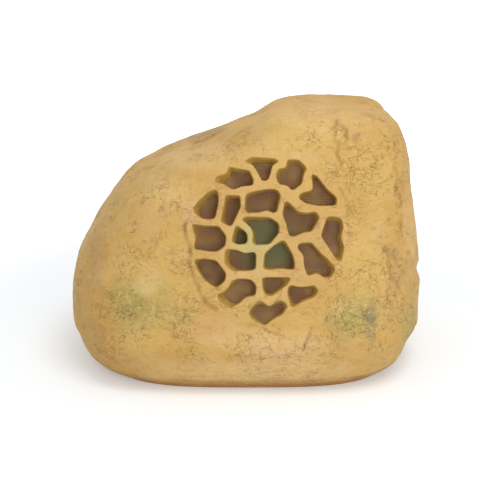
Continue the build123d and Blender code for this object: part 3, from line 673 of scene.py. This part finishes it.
ground = np.zeros(columns)
deepInset = rockForm["rimWidth"] + rockForm["flange"]
rimSteps = [(deepInset, rockForm["flangeTop"]), (deepInset, rockForm["recess"]),
            (rockForm["rimWidth"], rockForm["recess"]), (rockForm["rimWidth"], 0.0)]
rimRows = [rockPoint(turnRow, ground, inset, -height) for inset, height in rimSteps]
rows = np.concatenate([innerPoints, np.stack(rimRows), outerPoints])
rowIds = np.arange(rows.shape[0] * columns).reshape(-1, columns)
outerIds = rowIds[-len(outerRise):]
innerIds = rowIds[:len(innerRise)]
innerMiddle = rows[0].mean(axis=0)
innerPole, outerPole = rowIds.size + np.arange(2)
shellPoints = [rows.reshape(-1, 3), innerMiddle[None], rockPoint(ground[:1], ground[:1] + 1)]
wallShade = [np.zeros(rowIds.size + 2)]
creaseShade = [np.zeros(rowIds.size - outerIds.size), outerCrease.ravel(), np.zeros(2)]
print("rock rows:", rows.shape[0], "of", columns, "points")

# Openings: each loop of the outside is carried down its wall, row by row, to a loop of the inside
shellQuads, shellTris, cutCells = [], [], []


def pierceWall(place, form, outerLoops, wallRows, facing=0.15):
    # wallRows gives each loop's rows as (right, up, forward) from its first ring on the surface
    outerFlat, innerFlat = intoPlane(place, outerBase), intoPlane(place, innerPoints)
    outerBlock = blockRound(outerFlat, outerNormals @ place["forward"] > facing, form["reach"])
    innerBlock = blockRound(innerFlat, (innerPoints - innerMiddle) @ place["forward"] > 0, form["reach"])
    outerNames, innerNames, innerLoops = [], [], []
    for number, loop in enumerate(outerLoops):
        turn, rise = onRock(place, loop, outerTurns, outerRises, outerBlock)
        base = rockPoint(turn, rise)
        relief, crease = reliefAt(base)
        wall = wallRows(number, intoPlane(place, base + rockNormal(turn, rise) * relief[:, None]))
        firstId = sum(len(some) for some in shellPoints)
        ids = firstId + np.arange(wall.shape[0] * wall.shape[1]).reshape(wall.shape[:2])
        shellPoints.append(outOfPlane(place, wall).reshape(-1, 3))
        wallShade.append(np.repeat(np.linspace(0, form["shade"], len(wall)), wall.shape[1]))
        creaseShade.append(np.concatenate([crease, np.zeros(ids.size - len(crease))]))
        shellQuads.append(gridQuads(closedRows(ids)))
        outerNames.append(ids[0])
        innerNames.append(ids[-1])
        innerLoops.append(wall[-1, :, :2])
    outerBlockFlat, innerBlockFlat = outerFlat[outerBlock][..., :2], innerFlat[innerBlock][..., :2]
    shellTris.append(pierced(outerIds[outerBlock], outerBlockFlat, outerLoops, outerNames, form["clear"]))
    inside = pierced(innerIds[innerBlock], innerBlockFlat, innerLoops, innerNames, form["clear"])
    shellTris.append(inside[:, ::-1])
    cutCells.append((len(rows) - len(outerRise), outerBlock))
    cutCells.append((0, innerBlock))


lipLoops, lipNormals, lipOut, floorLoops = [], [], [], []
for outline in webForm["openings"]:
    lip, floorLoop = openingLoops(outline, webForm["spacing"], webForm["cornerReach"])
    normal, out = outwardOf(lip, webForm["lipRound"])
    lipLoops.append(lip + normal * out[:, None])
    lipNormals.append(normal)
    lipOut.append(out)
    floorLoops.append(floorLoop)


def webWall(number, ring):
    # a quarter round over the lip, then a straight drafted wall down to the seat
    normal, out = lipNormals[number], lipOut[number]
    rowsOut = [ring]
    for angle in np.linspace(0, np.pi / 2, webForm["roundRows"] + 1)[1:]:
        flat = ring[:, :2] - normal * (out * np.sin(angle))[:, None]
        rowsOut.append(np.column_stack([flat, ring[:, 2] - out * (1 - np.cos(angle))]))
    lip, floorRow = rowsOut[-1], np.column_stack([floorLoops[number], np.zeros(len(ring))])
    for share in np.linspace(0, 1, webForm["wallRows"] + 1)[1:]:
        rowsOut.append(lip + (floorRow - lip) * share)
    return np.stack(rowsOut)


circle = np.arange(glandForm["points"]) / glandForm["points"] * fullTurn
unitCircle = np.stack([np.cos(circle), np.sin(circle)], axis=-1)


def glandWall(number, ring):
    # round pocket down to the gland's face, then the hole through to the pad inside
    face = glandForm["face"] - glandForm["pad"]
    pocket, hole = glandForm["pocketRadius"], glandForm["holeRadius"]
    rowsOut = [ring]
    for radius, height in ((pocket, face), (hole, face), (hole, 0.0)):
        rowsOut.append(np.column_stack([unitCircle * radius, np.full(len(circle), height)]))
    return np.stack(rowsOut)


pierceWall(seat, webForm, lipLoops, webWall)
pierceWall(gland, glandForm, [unitCircle * (glandForm["pocketRadius"] + glandForm["lip"])], glandWall)
print("web of", len(lipLoops), "openings cut")

cellKept = np.ones((rows.shape[0] - 1, columns), bool)
for firstRow, (rowSpan, columnSpan) in cutCells:
    rowsCut = slice(firstRow + rowSpan.start, firstRow + rowSpan.stop - 1)
    cellKept[rowsCut, columnSpan.start:columnSpan.stop - 1] = False
gridCells = gridQuads(closedRows(rowIds))[cellKept.ravel()]
nextColumn = np.roll(np.arange(columns), -1)
innerFan = np.stack([np.full(columns, innerPole), innerIds[0][nextColumn], innerIds[0]], axis=-1)
outerFan = np.stack([outerIds[-1], outerIds[-1][nextColumn], np.full(columns, outerPole)], axis=-1)
shellPoints = np.clip(np.concatenate(shellPoints), rockLow, rockHigh)
rock, rockUsed = newPiece(
    "rockSkin", shellPoints, np.concatenate([gridCells] + shellQuads),
    np.concatenate(shellTris + [innerFan, outerFan]), rockForm["sharpAngle"],
)

# Washes of colour on the rock: soft ellipses right and up from the driver's axis
washForm = {
    "mossWash": [((-124, -60), (42, 32), 1.0), ((84, -72), (30, 28), 1.0), ((-62, 117), (20, 7), 0.7),
                 ((140, -84), (13, 32), 0.7), ((46, 2), (10, 9), 0.4), ((-85, -66), (20, 12), 0.7)],
    "mintWash": [((-12, 2), (27, 24), 1.0), ((-8, -20), (12, 14), 0.6), ((6, -4), (24, 8), 0.7)],
    "slateWash": [((101, -72), (9, 17), 0.85), ((103, -92), (6, 9), 0.5)],
    # the dusk wash is painted shade along the top edge, where the rock turns away, with mauve-grey patches
    # besides
    "duskAndEdgeShadeWash": [((-78, 114), (52, 11), 1.0), ((-34, 132), (38, 9), 0.9), ((-168, -16), (12, 40), 0.5),
                 ((108, 126), (18, 6), 0.6), ((87, 103), (6, 7), 0.8), ((119, -9), (13, 13), 0.5),
                 ((127, -34), (9, 23), 0.5), ((76, -98), (18, 8), 0.3)],
    "pinkWash": [((0, 0), (84, 84), 0.35), ((15, -104), (46, 18), 0.9), ((-74, 28), (11, 18), 0.9),
                 ((-60, -84), (40, 18), 0.5), ((-24, 62), (12, 8), 0.6), ((36, 84), (22, 8), 0.5),
                 ((-112, 20), (26, 20), 0.4)],
    # the pale wash is painted light in bands along the bottom and the top, and a few pale patches besides
    "paleAndPaintedLightWash": [((-10, -130), (140, 20), 1.0), ((50, 122), (90, 26), 0.6), ((-70, 84), (50, 20), 0.7),
                 ((0, -96), (70, 14), 0.5), ((-116, -42), (17, 12), 0.6), ((72, -62), (12, 8), 0.3),
                 ((-96, 50), (36, 26), 0.6), ((144, 10), (9, 34), 0.5)],
    # the ochre wash is painted shade along the left and right edges
    "ochreEdgeShadeWash": [((-156, -80), (24, 62), 0.7), ((-122, 10), (42, 34), 0.4), ((124, 10), (16, 60), 0.35)],
}
for name, spots in washForm.items():
    addAttribute(rock, name, spotsAt(shellPoints, spots)[rockUsed])
addAttribute(rock, "wrinkled", spotsAt(shellPoints, reliefForm["wrinkled"])[rockUsed])
addAttribute(rock, "wallShade", np.concatenate(wallShade)[rockUsed])
addAttribute(rock, "creaseShade", np.clip(np.concatenate(creaseShade), 0, 1)[rockUsed])


def squiggles(at, size, width, more):
    # thin broken lines: where a noise passes its middle value, in dashes, more of them in the wrinkled parts
    away = worked("ABSOLUTE", worked("SUBTRACT", cloud(at, size, 3.0, 0.5, 0.8), 0.5))
    dashes = times(band(away, width, 0.0), band(cloud(at, size, 2), 0.42, 0.58))
    return times(dashes, band(plus(cloud(at, 34, 2), more), 0.44, 0.66))


paintForm = {
    "ground": ((208, 165, 91), (215, 175, 100)),
    # colour of each wash, and the most of it that covers
    "washes": {
        "ochreEdgeShadeWash": ((198, 146, 72), 0.70), "pinkWash": ((224, 180, 134), 0.75),
        "duskAndEdgeShadeWash": ((178, 142, 108), 0.75), "mossWash": ((170, 156, 88), 0.85),
        "paleAndPaintedLightWash": ((240, 205, 144), 0.75), "mintWash": ((192, 188, 122), 0.80),
        "slateWash": ((134, 126, 102), 0.85),
    },
    "wide": (0.75, 1.0, 1.25), "wider": (0.7, 0.7, 1.3), "tall": (1.2, 1.2, 0.6),  # stretch of the patterns
    "roughness": (0.52, 0.72), "bumpDepth": 1.2,
}


def rockFinish():
    # painted resin: tan ground, ochre and pink clouds, brown in the cracks, green and grey washes; painted
    # shade in ochre along the side edges and in mauve along the top, painted light along the top and bottom,
    # painted shade in the creases and deeper in the opening walls, painted highlights on the wrinkles
    material, shader, at = startFinish("rockResin", Roughness=0.62, Specular_IOR_Level=0.28)
    wide, wider, tall = (scaled(at, paintForm[key]) for key in ("wide", "wider", "tall"))
    big, middle, small = cloud(at, 70), cloud(wide, 22, 4), cloud(wide, 7, 5, 0.62)
    patchy = band(small, 0.30, 0.62, 0.40, 1.0)
    flecks = times(band(cloud(at, 3.5, 3), 0.56, 0.66), attributeOf(at, "mossWash"))
    height = addNode(at.id_data, "ShaderNodeSeparateXYZ", {"Vector": at}).outputs["Z"]
    rim = times(band(height, 0.015, 0.004), band(middle, 0.2, 0.6, 0.55, 0.9))
    wrinkled = times(attributeOf(at, "wrinkled"), 0.22)
    lines = plus(squiggles(tall, 8.0, 0.024, wrinkled), squiggles(wider, 10.0, 0.019, wrinkled))
    lines = plus(lines, times(squiggles(wide, 5.5, 0.028, wrinkled), 0.7))
    # darker brown in the drawn lines, and painted shade over the creases, folds and the groove above the rim
    cracksAndCreaseShade = plus(times(lines, 0.52), times(attributeOf(at, "creaseShade"), 0.7))
    cracksAndCreaseShade = times(cracksAndCreaseShade, band(small, 0.25, 0.6, 0.5, 1.0))
    pale, brown = band(middle, 0.50, 0.70, 0, 0.40), band(small, 0.52, 0.72, 0, 0.30)
    layers = [(pale, (222, 186, 126)), (brown, (194, 146, 78))]
    for name, (tint, most) in paintForm["washes"].items():
        layers.append((times(times(attributeOf(at, name), patchy), most), tint))
    layers += [
        (times(flecks, 0.50), (216, 200, 122)), (rim, (192, 138, 76)),
        (times(squiggles(wide, 7.0, 0.034, wrinkled), 0.5), (238, 208, 142)),  # painted highlights: pale glints along the wrinkles
        (cracksAndCreaseShade, (152, 104, 54)),
        (band(cloud(at, 2.6, 2), 0.65, 0.73, 0, 0.50), (168, 122, 66)),  # brown specks
        (band(attributeOf(at, "wallShade"), 0.18, 0.75, 0, 0.85), (192, 157, 68)),  # olive colour of the opening walls, and painted shade that grows deeper down them
    ]
    dark, light = paintForm["ground"]
    colour = mixed(band(big, 0.40, 0.62), paint(*dark), paint(*light))
    for share, tint in layers:
        colour = mixed(share, colour, paint(*tint))
    join(colour, shader, "Base Color")
    join(band(small, 0.3, 0.7, *paintForm["roughness"]), shader, "Roughness")
    bump(shader, worked("SUBTRACT", cloud(wide, 3.4, 5, 0.6), cracksAndCreaseShade), paintForm["bumpDepth"])
    return material


rock.data.materials.append(rockFinish())
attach(rock, "cabinet")
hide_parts("rock_shell")
print("rock painted")

# Wire cloth behind the web: wires woven over and under each other
clothForm = {
    "radius": 84.5, "rimOuter": 86.0, "rimInner": 82.0, "rimSides": 120, "sharpAngle": 80,
    "pitch": 1.75, "halfWidth": 0.46, "halfThickness": 0.17, "wave": 0.20,
    "greenMiddle": (-1, -2), "greenSize": (33, 30), "greenEdge": (0.55, 1.2),  # green spray over the middle
    "brown": ((147, 107, 74), (172, 138, 86)), "green": (130, 128, 86), "worn": (178, 148, 112),
}


def wovenWires(across):
    # flat wires a pitch apart, each a four-sided section carried up and down over every crossing
    pitch, radius = clothForm["pitch"], clothForm["radius"]
    count = int(radius / pitch)
    places = np.arange(-count, count + 1)
    wire, crossing = np.meshgrid(places, places, indexing="ij")
    within = np.hypot(wire, crossing) * pitch < radius
    up = np.where((wire + crossing + across) % 2 == 0, 1.0, -1.0) * clothForm["wave"]
    section = np.array([(-1, -1), (1, -1), (1, 1), (-1, 1)])
    section = section * (clothForm["halfWidth"], clothForm["halfThickness"])
    side = wire[..., None] * pitch + section[:, 0]
    along = np.broadcast_to((crossing * pitch)[..., None], side.shape)
    height = up[..., None] + section[:, 1] - clothThickness / 2
    flat = np.stack([side, along, height] if across else [along, side, height], axis=-1)
    ids = np.arange(side.size).reshape(side.shape)
    closed = np.concatenate([ids, ids[..., :1]], axis=-1)
    start, end = closed[:, :-1], closed[:, 1:]
    quads = np.stack([start[..., :-1], start[..., 1:], end[..., 1:], end[..., :-1]], axis=-1)
    quads = quads[within[:, :-1] & within[:, 1:]].reshape(-1, 4)
    kept = np.flatnonzero(within.sum(axis=1) > 1)
    first = within.argmax(axis=1)[kept]
    last = (len(places) - 1 - within[:, ::-1].argmax(axis=1))[kept]
    quads = np.concatenate([quads, ids[kept, first][:, ::-1], ids[kept, last]])
    return flat.reshape(-1, 3), quads[:, ::-1] if across else quads


def ringQuads(profile, sides):
    # a closed profile of radius and height carried round the axis
    angle = np.arange(sides) / sides * fullTurn
    radius, height = np.array(profile, float).T[..., None]
    points = np.stack([radius * np.cos(angle), radius * np.sin(angle), height + 0 * angle], axis=-1)
    ids = closedRows(np.arange(len(radius) * sides).reshape(len(radius), sides))
    return points.reshape(-1, 3), gridQuads(np.concatenate([ids, ids[:1]]))


clothPoints, clothQuads, clothStart = [], [], 0
rimProfile = [(clothForm["rimInner"], 0.0), (clothForm["rimInner"], -clothThickness),
              (clothForm["rimOuter"], -clothThickness), (clothForm["rimOuter"], 0.0)]
for points, quads in (wovenWires(0), wovenWires(1), ringQuads(rimProfile, clothForm["rimSides"])):
    clothPoints.append(points)
    clothQuads.append(quads + clothStart)
    clothStart += len(points)
clothFlat = np.concatenate(clothPoints)
cloth, clothUsed = newPiece(
    "wireCloth", outOfPlane(seat, clothFlat), np.concatenate(clothQuads), [], clothForm["sharpAngle"],
)
greenAway = np.linalg.norm((clothFlat[:, :2] - clothForm["greenMiddle"]) / clothForm["greenSize"], axis=1)
addAttribute(cloth, "greenSpray", (1 - smoothStep(greenAway, *clothForm["greenEdge"]))[clothUsed])


def clothFinish():
    # brown paint on wire, green over the middle, a little worn
    material, shader, at = startFinish("clothWire", Roughness=0.55, Specular_IOR_Level=0.3)
    dark, light = clothForm["brown"]
    colour = mixed(band(cloud(at, 14, 4), 0.35, 0.7), paint(*dark), paint(*light))
    colour = mixed(attributeOf(at, "greenSpray"), colour, paint(*clothForm["green"]))
    worn = band(cloud(at, 3, 3), 0.64, 0.74, 0, 0.4)
    join(mixed(worn, colour, paint(*clothForm["worn"])), shader, "Base Color")
    bump(shader, cloud(at, 0.6, 2), 0.05)
    return material


cloth.data.materials.append(clothFinish())
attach(cloth, "cabinet")
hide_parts("grille_mesh")
print("wire cloth woven")

# Finishes of the driver and of the solids that stay as they are
finishForm = {
    # colour, second colour, size of the clouds, roughness, metal, bump depth
    "foam": ((34, 34, 34), (52, 52, 50), 1.2, 0.95, 0.0, 0.30),
    "basketSteel": ((30, 31, 33), (44, 45, 47), 9.0, 0.45, 0.3, 0.04),
    "screwSteel": ((168, 168, 170), (134, 134, 138), 3.0, 0.35, 1.0, 0.03),
    "surroundRubber": ((26, 26, 27), (38, 38, 38), 6.0, 0.55, 0.0, 0.05),
    "conePaper": ((44, 42, 40), (62, 60, 56), 2.0, 0.85, 0.0, 0.20),
    "capPaper": ((36, 35, 34), (52, 50, 48), 2.0, 0.80, 0.0, 0.15),
    "coilCopper": ((186, 110, 64), (146, 80, 44), 1.0, 0.40, 1.0, 0.08),
    "spiderCloth": ((196, 156, 80), (168, 128, 60), 0.9, 0.90, 0.0, 0.15),
    "motorSteel": ((168, 170, 172), (128, 130, 134), 5.0, 0.38, 1.0, 0.03),
    "ferrite": ((54, 54, 57), (74, 74, 76), 2.5, 0.75, 0.0, 0.10),
    "tagBrass": ((206, 172, 104), (166, 134, 74), 2.0, 0.35, 1.0, 0.03),
    "basePlastic": ((46, 44, 42), (60, 57, 53), 1.6, 0.65, 0.0, 0.12),
    "sealRubber": ((36, 36, 36), (50, 50, 49), 2.0, 0.80, 0.0, 0.06),
    "board": ((40, 110, 62), (28, 84, 48), 5.0, 0.40, 0.0, 0.03),
    "capacitorCase": ((190, 160, 76), (170, 138, 58), 8.0, 0.30, 0.0, 0.02),
    "inductorCopper": ((188, 112, 62), (150, 84, 44), 0.9, 0.38, 1.0, 0.15),
    "resistorCement": ((216, 212, 202), (192, 188, 178), 1.6, 0.85, 0.0, 0.10),
    "blockPlastic": ((58, 96, 146), (48, 82, 128), 4.0, 0.45, 0.0, 0.03),
    "leadSleeve": ((70, 68, 66), (88, 86, 82), 2.0, 0.50, 0.0, 0.03),
    "glandPlastic": ((46, 46, 47), (60, 60, 60), 1.4, 0.50, 0.0, 0.08),
}


def plainFinish(name):
    # two close shades in clouds, with roughness and a fine surface that follow them
    first, second, size, roughness, metal, depth = finishForm[name]
    material, shader, at = startFinish(name, Metallic=metal)
    patches = cloud(at, size, 4)
    join(mixed(band(patches, 0.3, 0.7), paint(*first), paint(*second)), shader, "Base Color")
    rough = band(cloud(at, size * 3, 3), 0.3, 0.7, roughness - 0.08, min(roughness + 0.08, 1))
    join(rough, shader, "Roughness")
    bump(shader, patches, depth)
    return material


finishes = {name: plainFinish(name) for name in finishForm}


# Driver pieces turned round the axis: radius against depth behind the seat, in millimetres

def ringProfile(inner, outer, front, back, edge):
    # a rectangle with its corners bent round
    corners = np.array([(inner, front), (outer, front), (outer, back), (inner, back)], float)
    return bentCorners(corners, edge, 0.4, np.linspace(0, 1, 4))[2].reshape(-1, 2)


def sheetProfile(line, thickness):
    # both faces of a thin sheet whose middle follows the line
    way = np.gradient(line, axis=0)
    normal = np.stack([-way[:, 1], way[:, 0]], axis=-1) / np.linalg.norm(way, axis=1, keepdims=True)
    return np.concatenate([line + normal * thickness / 2, (line - normal * thickness / 2)[::-1]])


def turnedPiece(name, node, finish, body, profile, sides=96):
    # a closed profile carried round the axis; its points on the axis meet in one pole
    profile = np.array(profile, float) * (1, -1)
    profile = profile if signedArea(profile) > 0 else profile[::-1]
    points, quads = ringQuads(profile, sides)
    radius = np.repeat(profile[:, 0], sides)
    rowStart = np.repeat(np.arange(len(profile)) * sides, sides)
    merged = np.where(radius < 1e-6, rowStart, np.arange(len(points)))[quads]
    same = merged == np.roll(merged, -1, axis=1)
    ended = same.sum(axis=1) == 1
    tris = merged[ended][~same[ended]].reshape(-1, 3)
    whole = merged[~same.any(axis=1)]
    piece, used = newPiece(name, outOfPlane(seat, points), whole, tris, sharpAngle=40)
    piece.data.materials.append(finishes[finish])
    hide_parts(node)
    if body:
        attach(piece, body)
    return piece, radius[used]


# inner and outer radius, front, back, and how far the edges are rounded
blockForm = {"gasket": (78.0, 85.5, clothThickness, 11.0, 0.8), "plate": (17.8, 45.0, 54.0, 60.0, 0.5),
             "magnet": (26.0, 45.0, 60.0, 75.0, 0.9)}
turnedPiece("gasketRing", "driver_gasket", "foam", "cabinet", ringProfile(*blockForm["gasket"]))

# half a wave between the two edges of the roll, with a flat lip outside and a lip on the cone inside
rollForm = {"lipOuter": 76.0, "outer": 72.4, "inner": 63.0, "depth": 10.6, "height": 4.1, "rubber": 0.72,
            "innerLip": [(62.2, 10.55), (61.2, 10.58), (60.1, 11.2), (59.0, 11.82)], "rows": 25, "sides": 120}
rollAngle = np.linspace(0, np.pi, rollForm["rows"])
rollMiddle = (rollForm["outer"] + rollForm["inner"]) / 2
rollHalf = (rollForm["outer"] - rollForm["inner"]) / 2
rollLine = np.column_stack([rollMiddle + rollHalf * np.cos(rollAngle),
                            rollForm["depth"] - rollForm["height"] * np.sin(rollAngle)])
rollLine = np.concatenate([[(rollForm["lipOuter"], rollForm["depth"])], rollLine, rollForm["innerLip"]])
surround, surroundRadius = turnedPiece(
    "surroundRoll", "surround", "surroundRubber", None,
    sheetProfile(rollLine, rollForm["rubber"]), rollForm["sides"],
)

# a straight cone from its rim to its neck
coneForm = {"rim": (61.6, 11.3), "neck": (18.15, 35.7), "paper": 0.8, "rows": 20, "sides": 120}
coneLine = np.linspace(coneForm["rim"], coneForm["neck"], coneForm["rows"])
turnedPiece("paperCone", "cone", "conePaper", "cone_assembly",
            sheetProfile(coneLine, coneForm["paper"]), coneForm["sides"])

# the cap's height follows a power of the sine, and its underside lies a sheet's thickness behind
capForm = {"radius": 23.8, "depth": 31.6, "height": 7.0, "power": 1.2, "paper": 0.6, "rows": 14}
capAngle = np.linspace(0, np.pi / 2, capForm["rows"])
capTop = np.column_stack([capForm["radius"] * np.cos(capAngle),
                          capForm["depth"] - capForm["height"] * np.sin(capAngle) ** capForm["power"]])
capTop[-1, 0] = 0
capUnder = capTop[::-1] + (0, capForm["paper"])
capUnder[-1] = (capForm["radius"] - capForm["paper"], capForm["depth"])
capProfile = np.concatenate([capTop, capUnder])
turnedPiece("dustDome", "dust_cap", "capPaper", "cone_assembly", capProfile)

# a tube with a groove between the turns of wire
coilForm = {"inner": 16.0, "outer": 17.0, "top": 34.0, "end": 64.0, "groove": 0.08, "rows": 61}
coilOut = coilForm["outer"] - coilForm["groove"] * (np.arange(coilForm["rows"]) % 2)
coilLine = np.column_stack([coilOut, np.linspace(coilForm["top"], coilForm["end"], coilForm["rows"])])
coilBore = [(coilForm["inner"], coilForm["end"]), (coilForm["inner"], coilForm["top"])]
coilProfile = np.concatenate([coilLine, coilBore])
turnedPiece("coilWinding", "voice_coil", "coilCopper", "cone_assembly", coilProfile)

# even waves from the inner to the outer edge
spiderForm = {"inner": 17.4, "outer": 52.0, "depth": 42.5, "waves": 6, "wave": 0.9, "cloth": 0.6, "rows": 97}
spiderWave = np.sin(np.linspace(0, 1, spiderForm["rows"]) * fullTurn * spiderForm["waves"])
spiderLine = np.column_stack([np.linspace(spiderForm["inner"], spiderForm["outer"], spiderForm["rows"]),
                              spiderForm["depth"] + spiderForm["wave"] * spiderWave])
spider, spiderRadius = turnedPiece("spiderDisc", "spider", "spiderCloth", None,
                                   sheetProfile(spiderLine, spiderForm["cloth"]))

turnedPiece("frontPlate", "top_plate", "motorSteel", "cabinet",
            ringProfile(*blockForm["plate"]))
turnedPiece("magnetRing", "magnet", "ferrite", "cabinet", ringProfile(*blockForm["magnet"]))
# pole and disc in one, from the front of the pole out to the back of the disc
yokeForm = {"profile": [(0, 54.0), (14.9, 54.0), (15.4, 54.5), (15.4, 75.0), (43.4, 75.0), (44.0, 75.6),
                        (44.0, 80.4), (43.4, 81.0), (0, 81.0)]}
turnedPiece("backPlate", "yoke", "motorSteel", "cabinet", yokeForm["profile"])

# The surround and the spider have their placing applied to their points
for piece, radius, form in ((surround, surroundRadius, rollForm), (spider, spiderRadius, spiderForm)):
    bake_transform(piece)
print("driver turned")

# Solids that stay as they are, and their finishes
nodeFinish = {
    "driver_basket": "basketSteel", "driver_screws": "screwSteel", "terminal_strip": "tagBrass",
    "base_plate": "basePlastic", "base_gasket": "sealRubber", "base_screws": "screwSteel",
    "crossover_board": "board", "capacitor": "capacitorCase", "inductor": "inductorCopper",
    "resistor": "resistorCement", "terminal_block": "blockPlastic", "twin_lead": "leadSleeve",
    "cable_gland": "glandPlastic", "gland_nut": "glandPlastic",
}
for name, finish in nodeFinish.items():
    for materialSlot in frame["nodes"][name].material_slots:
        materialSlot.material = finishes[finish]
print("solids finished:", len(nodeFinish))

# Floor, light and camera
studioForm = {
    "floorHalf": 6.0, "floorColour": (0.82, 0.85, 0.88, 1), "floorLift": 0.28, "liftEdge": (0.3, 0.9),
    "worldLight": 0.60, "aim": (0, 0, 0.12),
    # place, power and size of each light
    "lights": {"keyLight": ((0.45, -0.9, 2.4), 18.0, 1.1), "fillLight": ((1.0, -2.3, 0.7), 16.5, 1.2)},
}
white = (1, 1, 1, 1)


def litForCamera(tree, strength):
    # strength for what the camera, a mirror or glass sees
    path = addNode(tree, "ShaderNodeLightPath").outputs
    seen = plus(plus(path["Is Camera Ray"], path["Is Glossy Ray"]), path["Is Transmission Ray"])
    return times(seen, strength)


def floorFinish():
    # pale floor that keeps the shadow and is lifted to white where no shadow falls
    material = bpy.data.materials.new("paleFloor")
    material.use_nodes = True
    tree = material.node_tree
    tree.nodes.remove(tree.nodes["Principled BSDF"])
    matt = addNode(tree, "ShaderNodeBsdfDiffuse", {"Color": studioForm["floorColour"]})
    at = addNode(tree, "ShaderNodeTexCoord").outputs["Object"]
    away = addNode(tree, "ShaderNodeVectorMath", {0: at}, operation="LENGTH").outputs["Value"]
    lift = litForCamera(tree, band(away, *studioForm["liftEdge"], studioForm["floorLift"], 1.0))
    glow = addNode(tree, "ShaderNodeEmission", {"Color": white, "Strength": lift})
    both = addNode(tree, "ShaderNodeAddShader", {0: matt.outputs[0], 1: glow.outputs[0]})
    join(both.outputs[0], tree.nodes["Material Output"], "Surface")
    return material


half = studioForm["floorHalf"] / millimetre
floorPoints = np.array([(-half, -half, 0), (half, -half, 0), (half, half, 0), (-half, half, 0)])
floor, _ = newPiece("paleFloor", floorPoints, [(0, 1, 2, 3)], [])
floor.data.materials.append(floorFinish())


def aimed(name, data, place, target):
    # a light or camera that looks from its place to the target
    thing = bpy.data.objects.new(name, data)
    thing.location = place
    thing.rotation_euler = (Vector(target) - Vector(place)).to_track_quat("-Z", "Y").to_euler()
    bpy.context.collection.objects.link(thing)
    return thing


for name, (place, power, size) in studioForm["lights"].items():
    lamp = bpy.data.lights.new(name, "AREA")
    lamp.energy = power
    lamp.size = size
    aimed(name, lamp, place, studioForm["aim"])

world = bpy.data.worlds.new("studio")
world.use_nodes = True
bpy.context.scene.world = world
background = world.node_tree.nodes["Background"]
ambient = studioForm["worldLight"]
join(worked("ADD", litForCamera(world.node_tree, 1 - ambient), ambient), background, "Strength")
background.inputs["Color"].default_value = white

viewForm = {"elevation": 18.0, "distance": 1.5, "target": (-0.006, 0.0, 0.119), "focalPixels": 1438.0,
            "imagePixels": 480.0, "sensor": 36.0}
lens = bpy.data.cameras.new("view")
lens.sensor_width = viewForm["sensor"]
lens.lens = viewForm["focalPixels"] / viewForm["imagePixels"] * viewForm["sensor"]
tilt = radians(viewForm["elevation"])
towards = Vector((0, -np.cos(tilt), np.sin(tilt)))
cameraPlace = Vector(viewForm["target"]) + viewForm["distance"] * towards
bpy.context.scene.camera = aimed("view", lens, cameraPlace, viewForm["target"])
bpy.context.scene.view_settings.view_transform = "Standard"
print("studio ready")
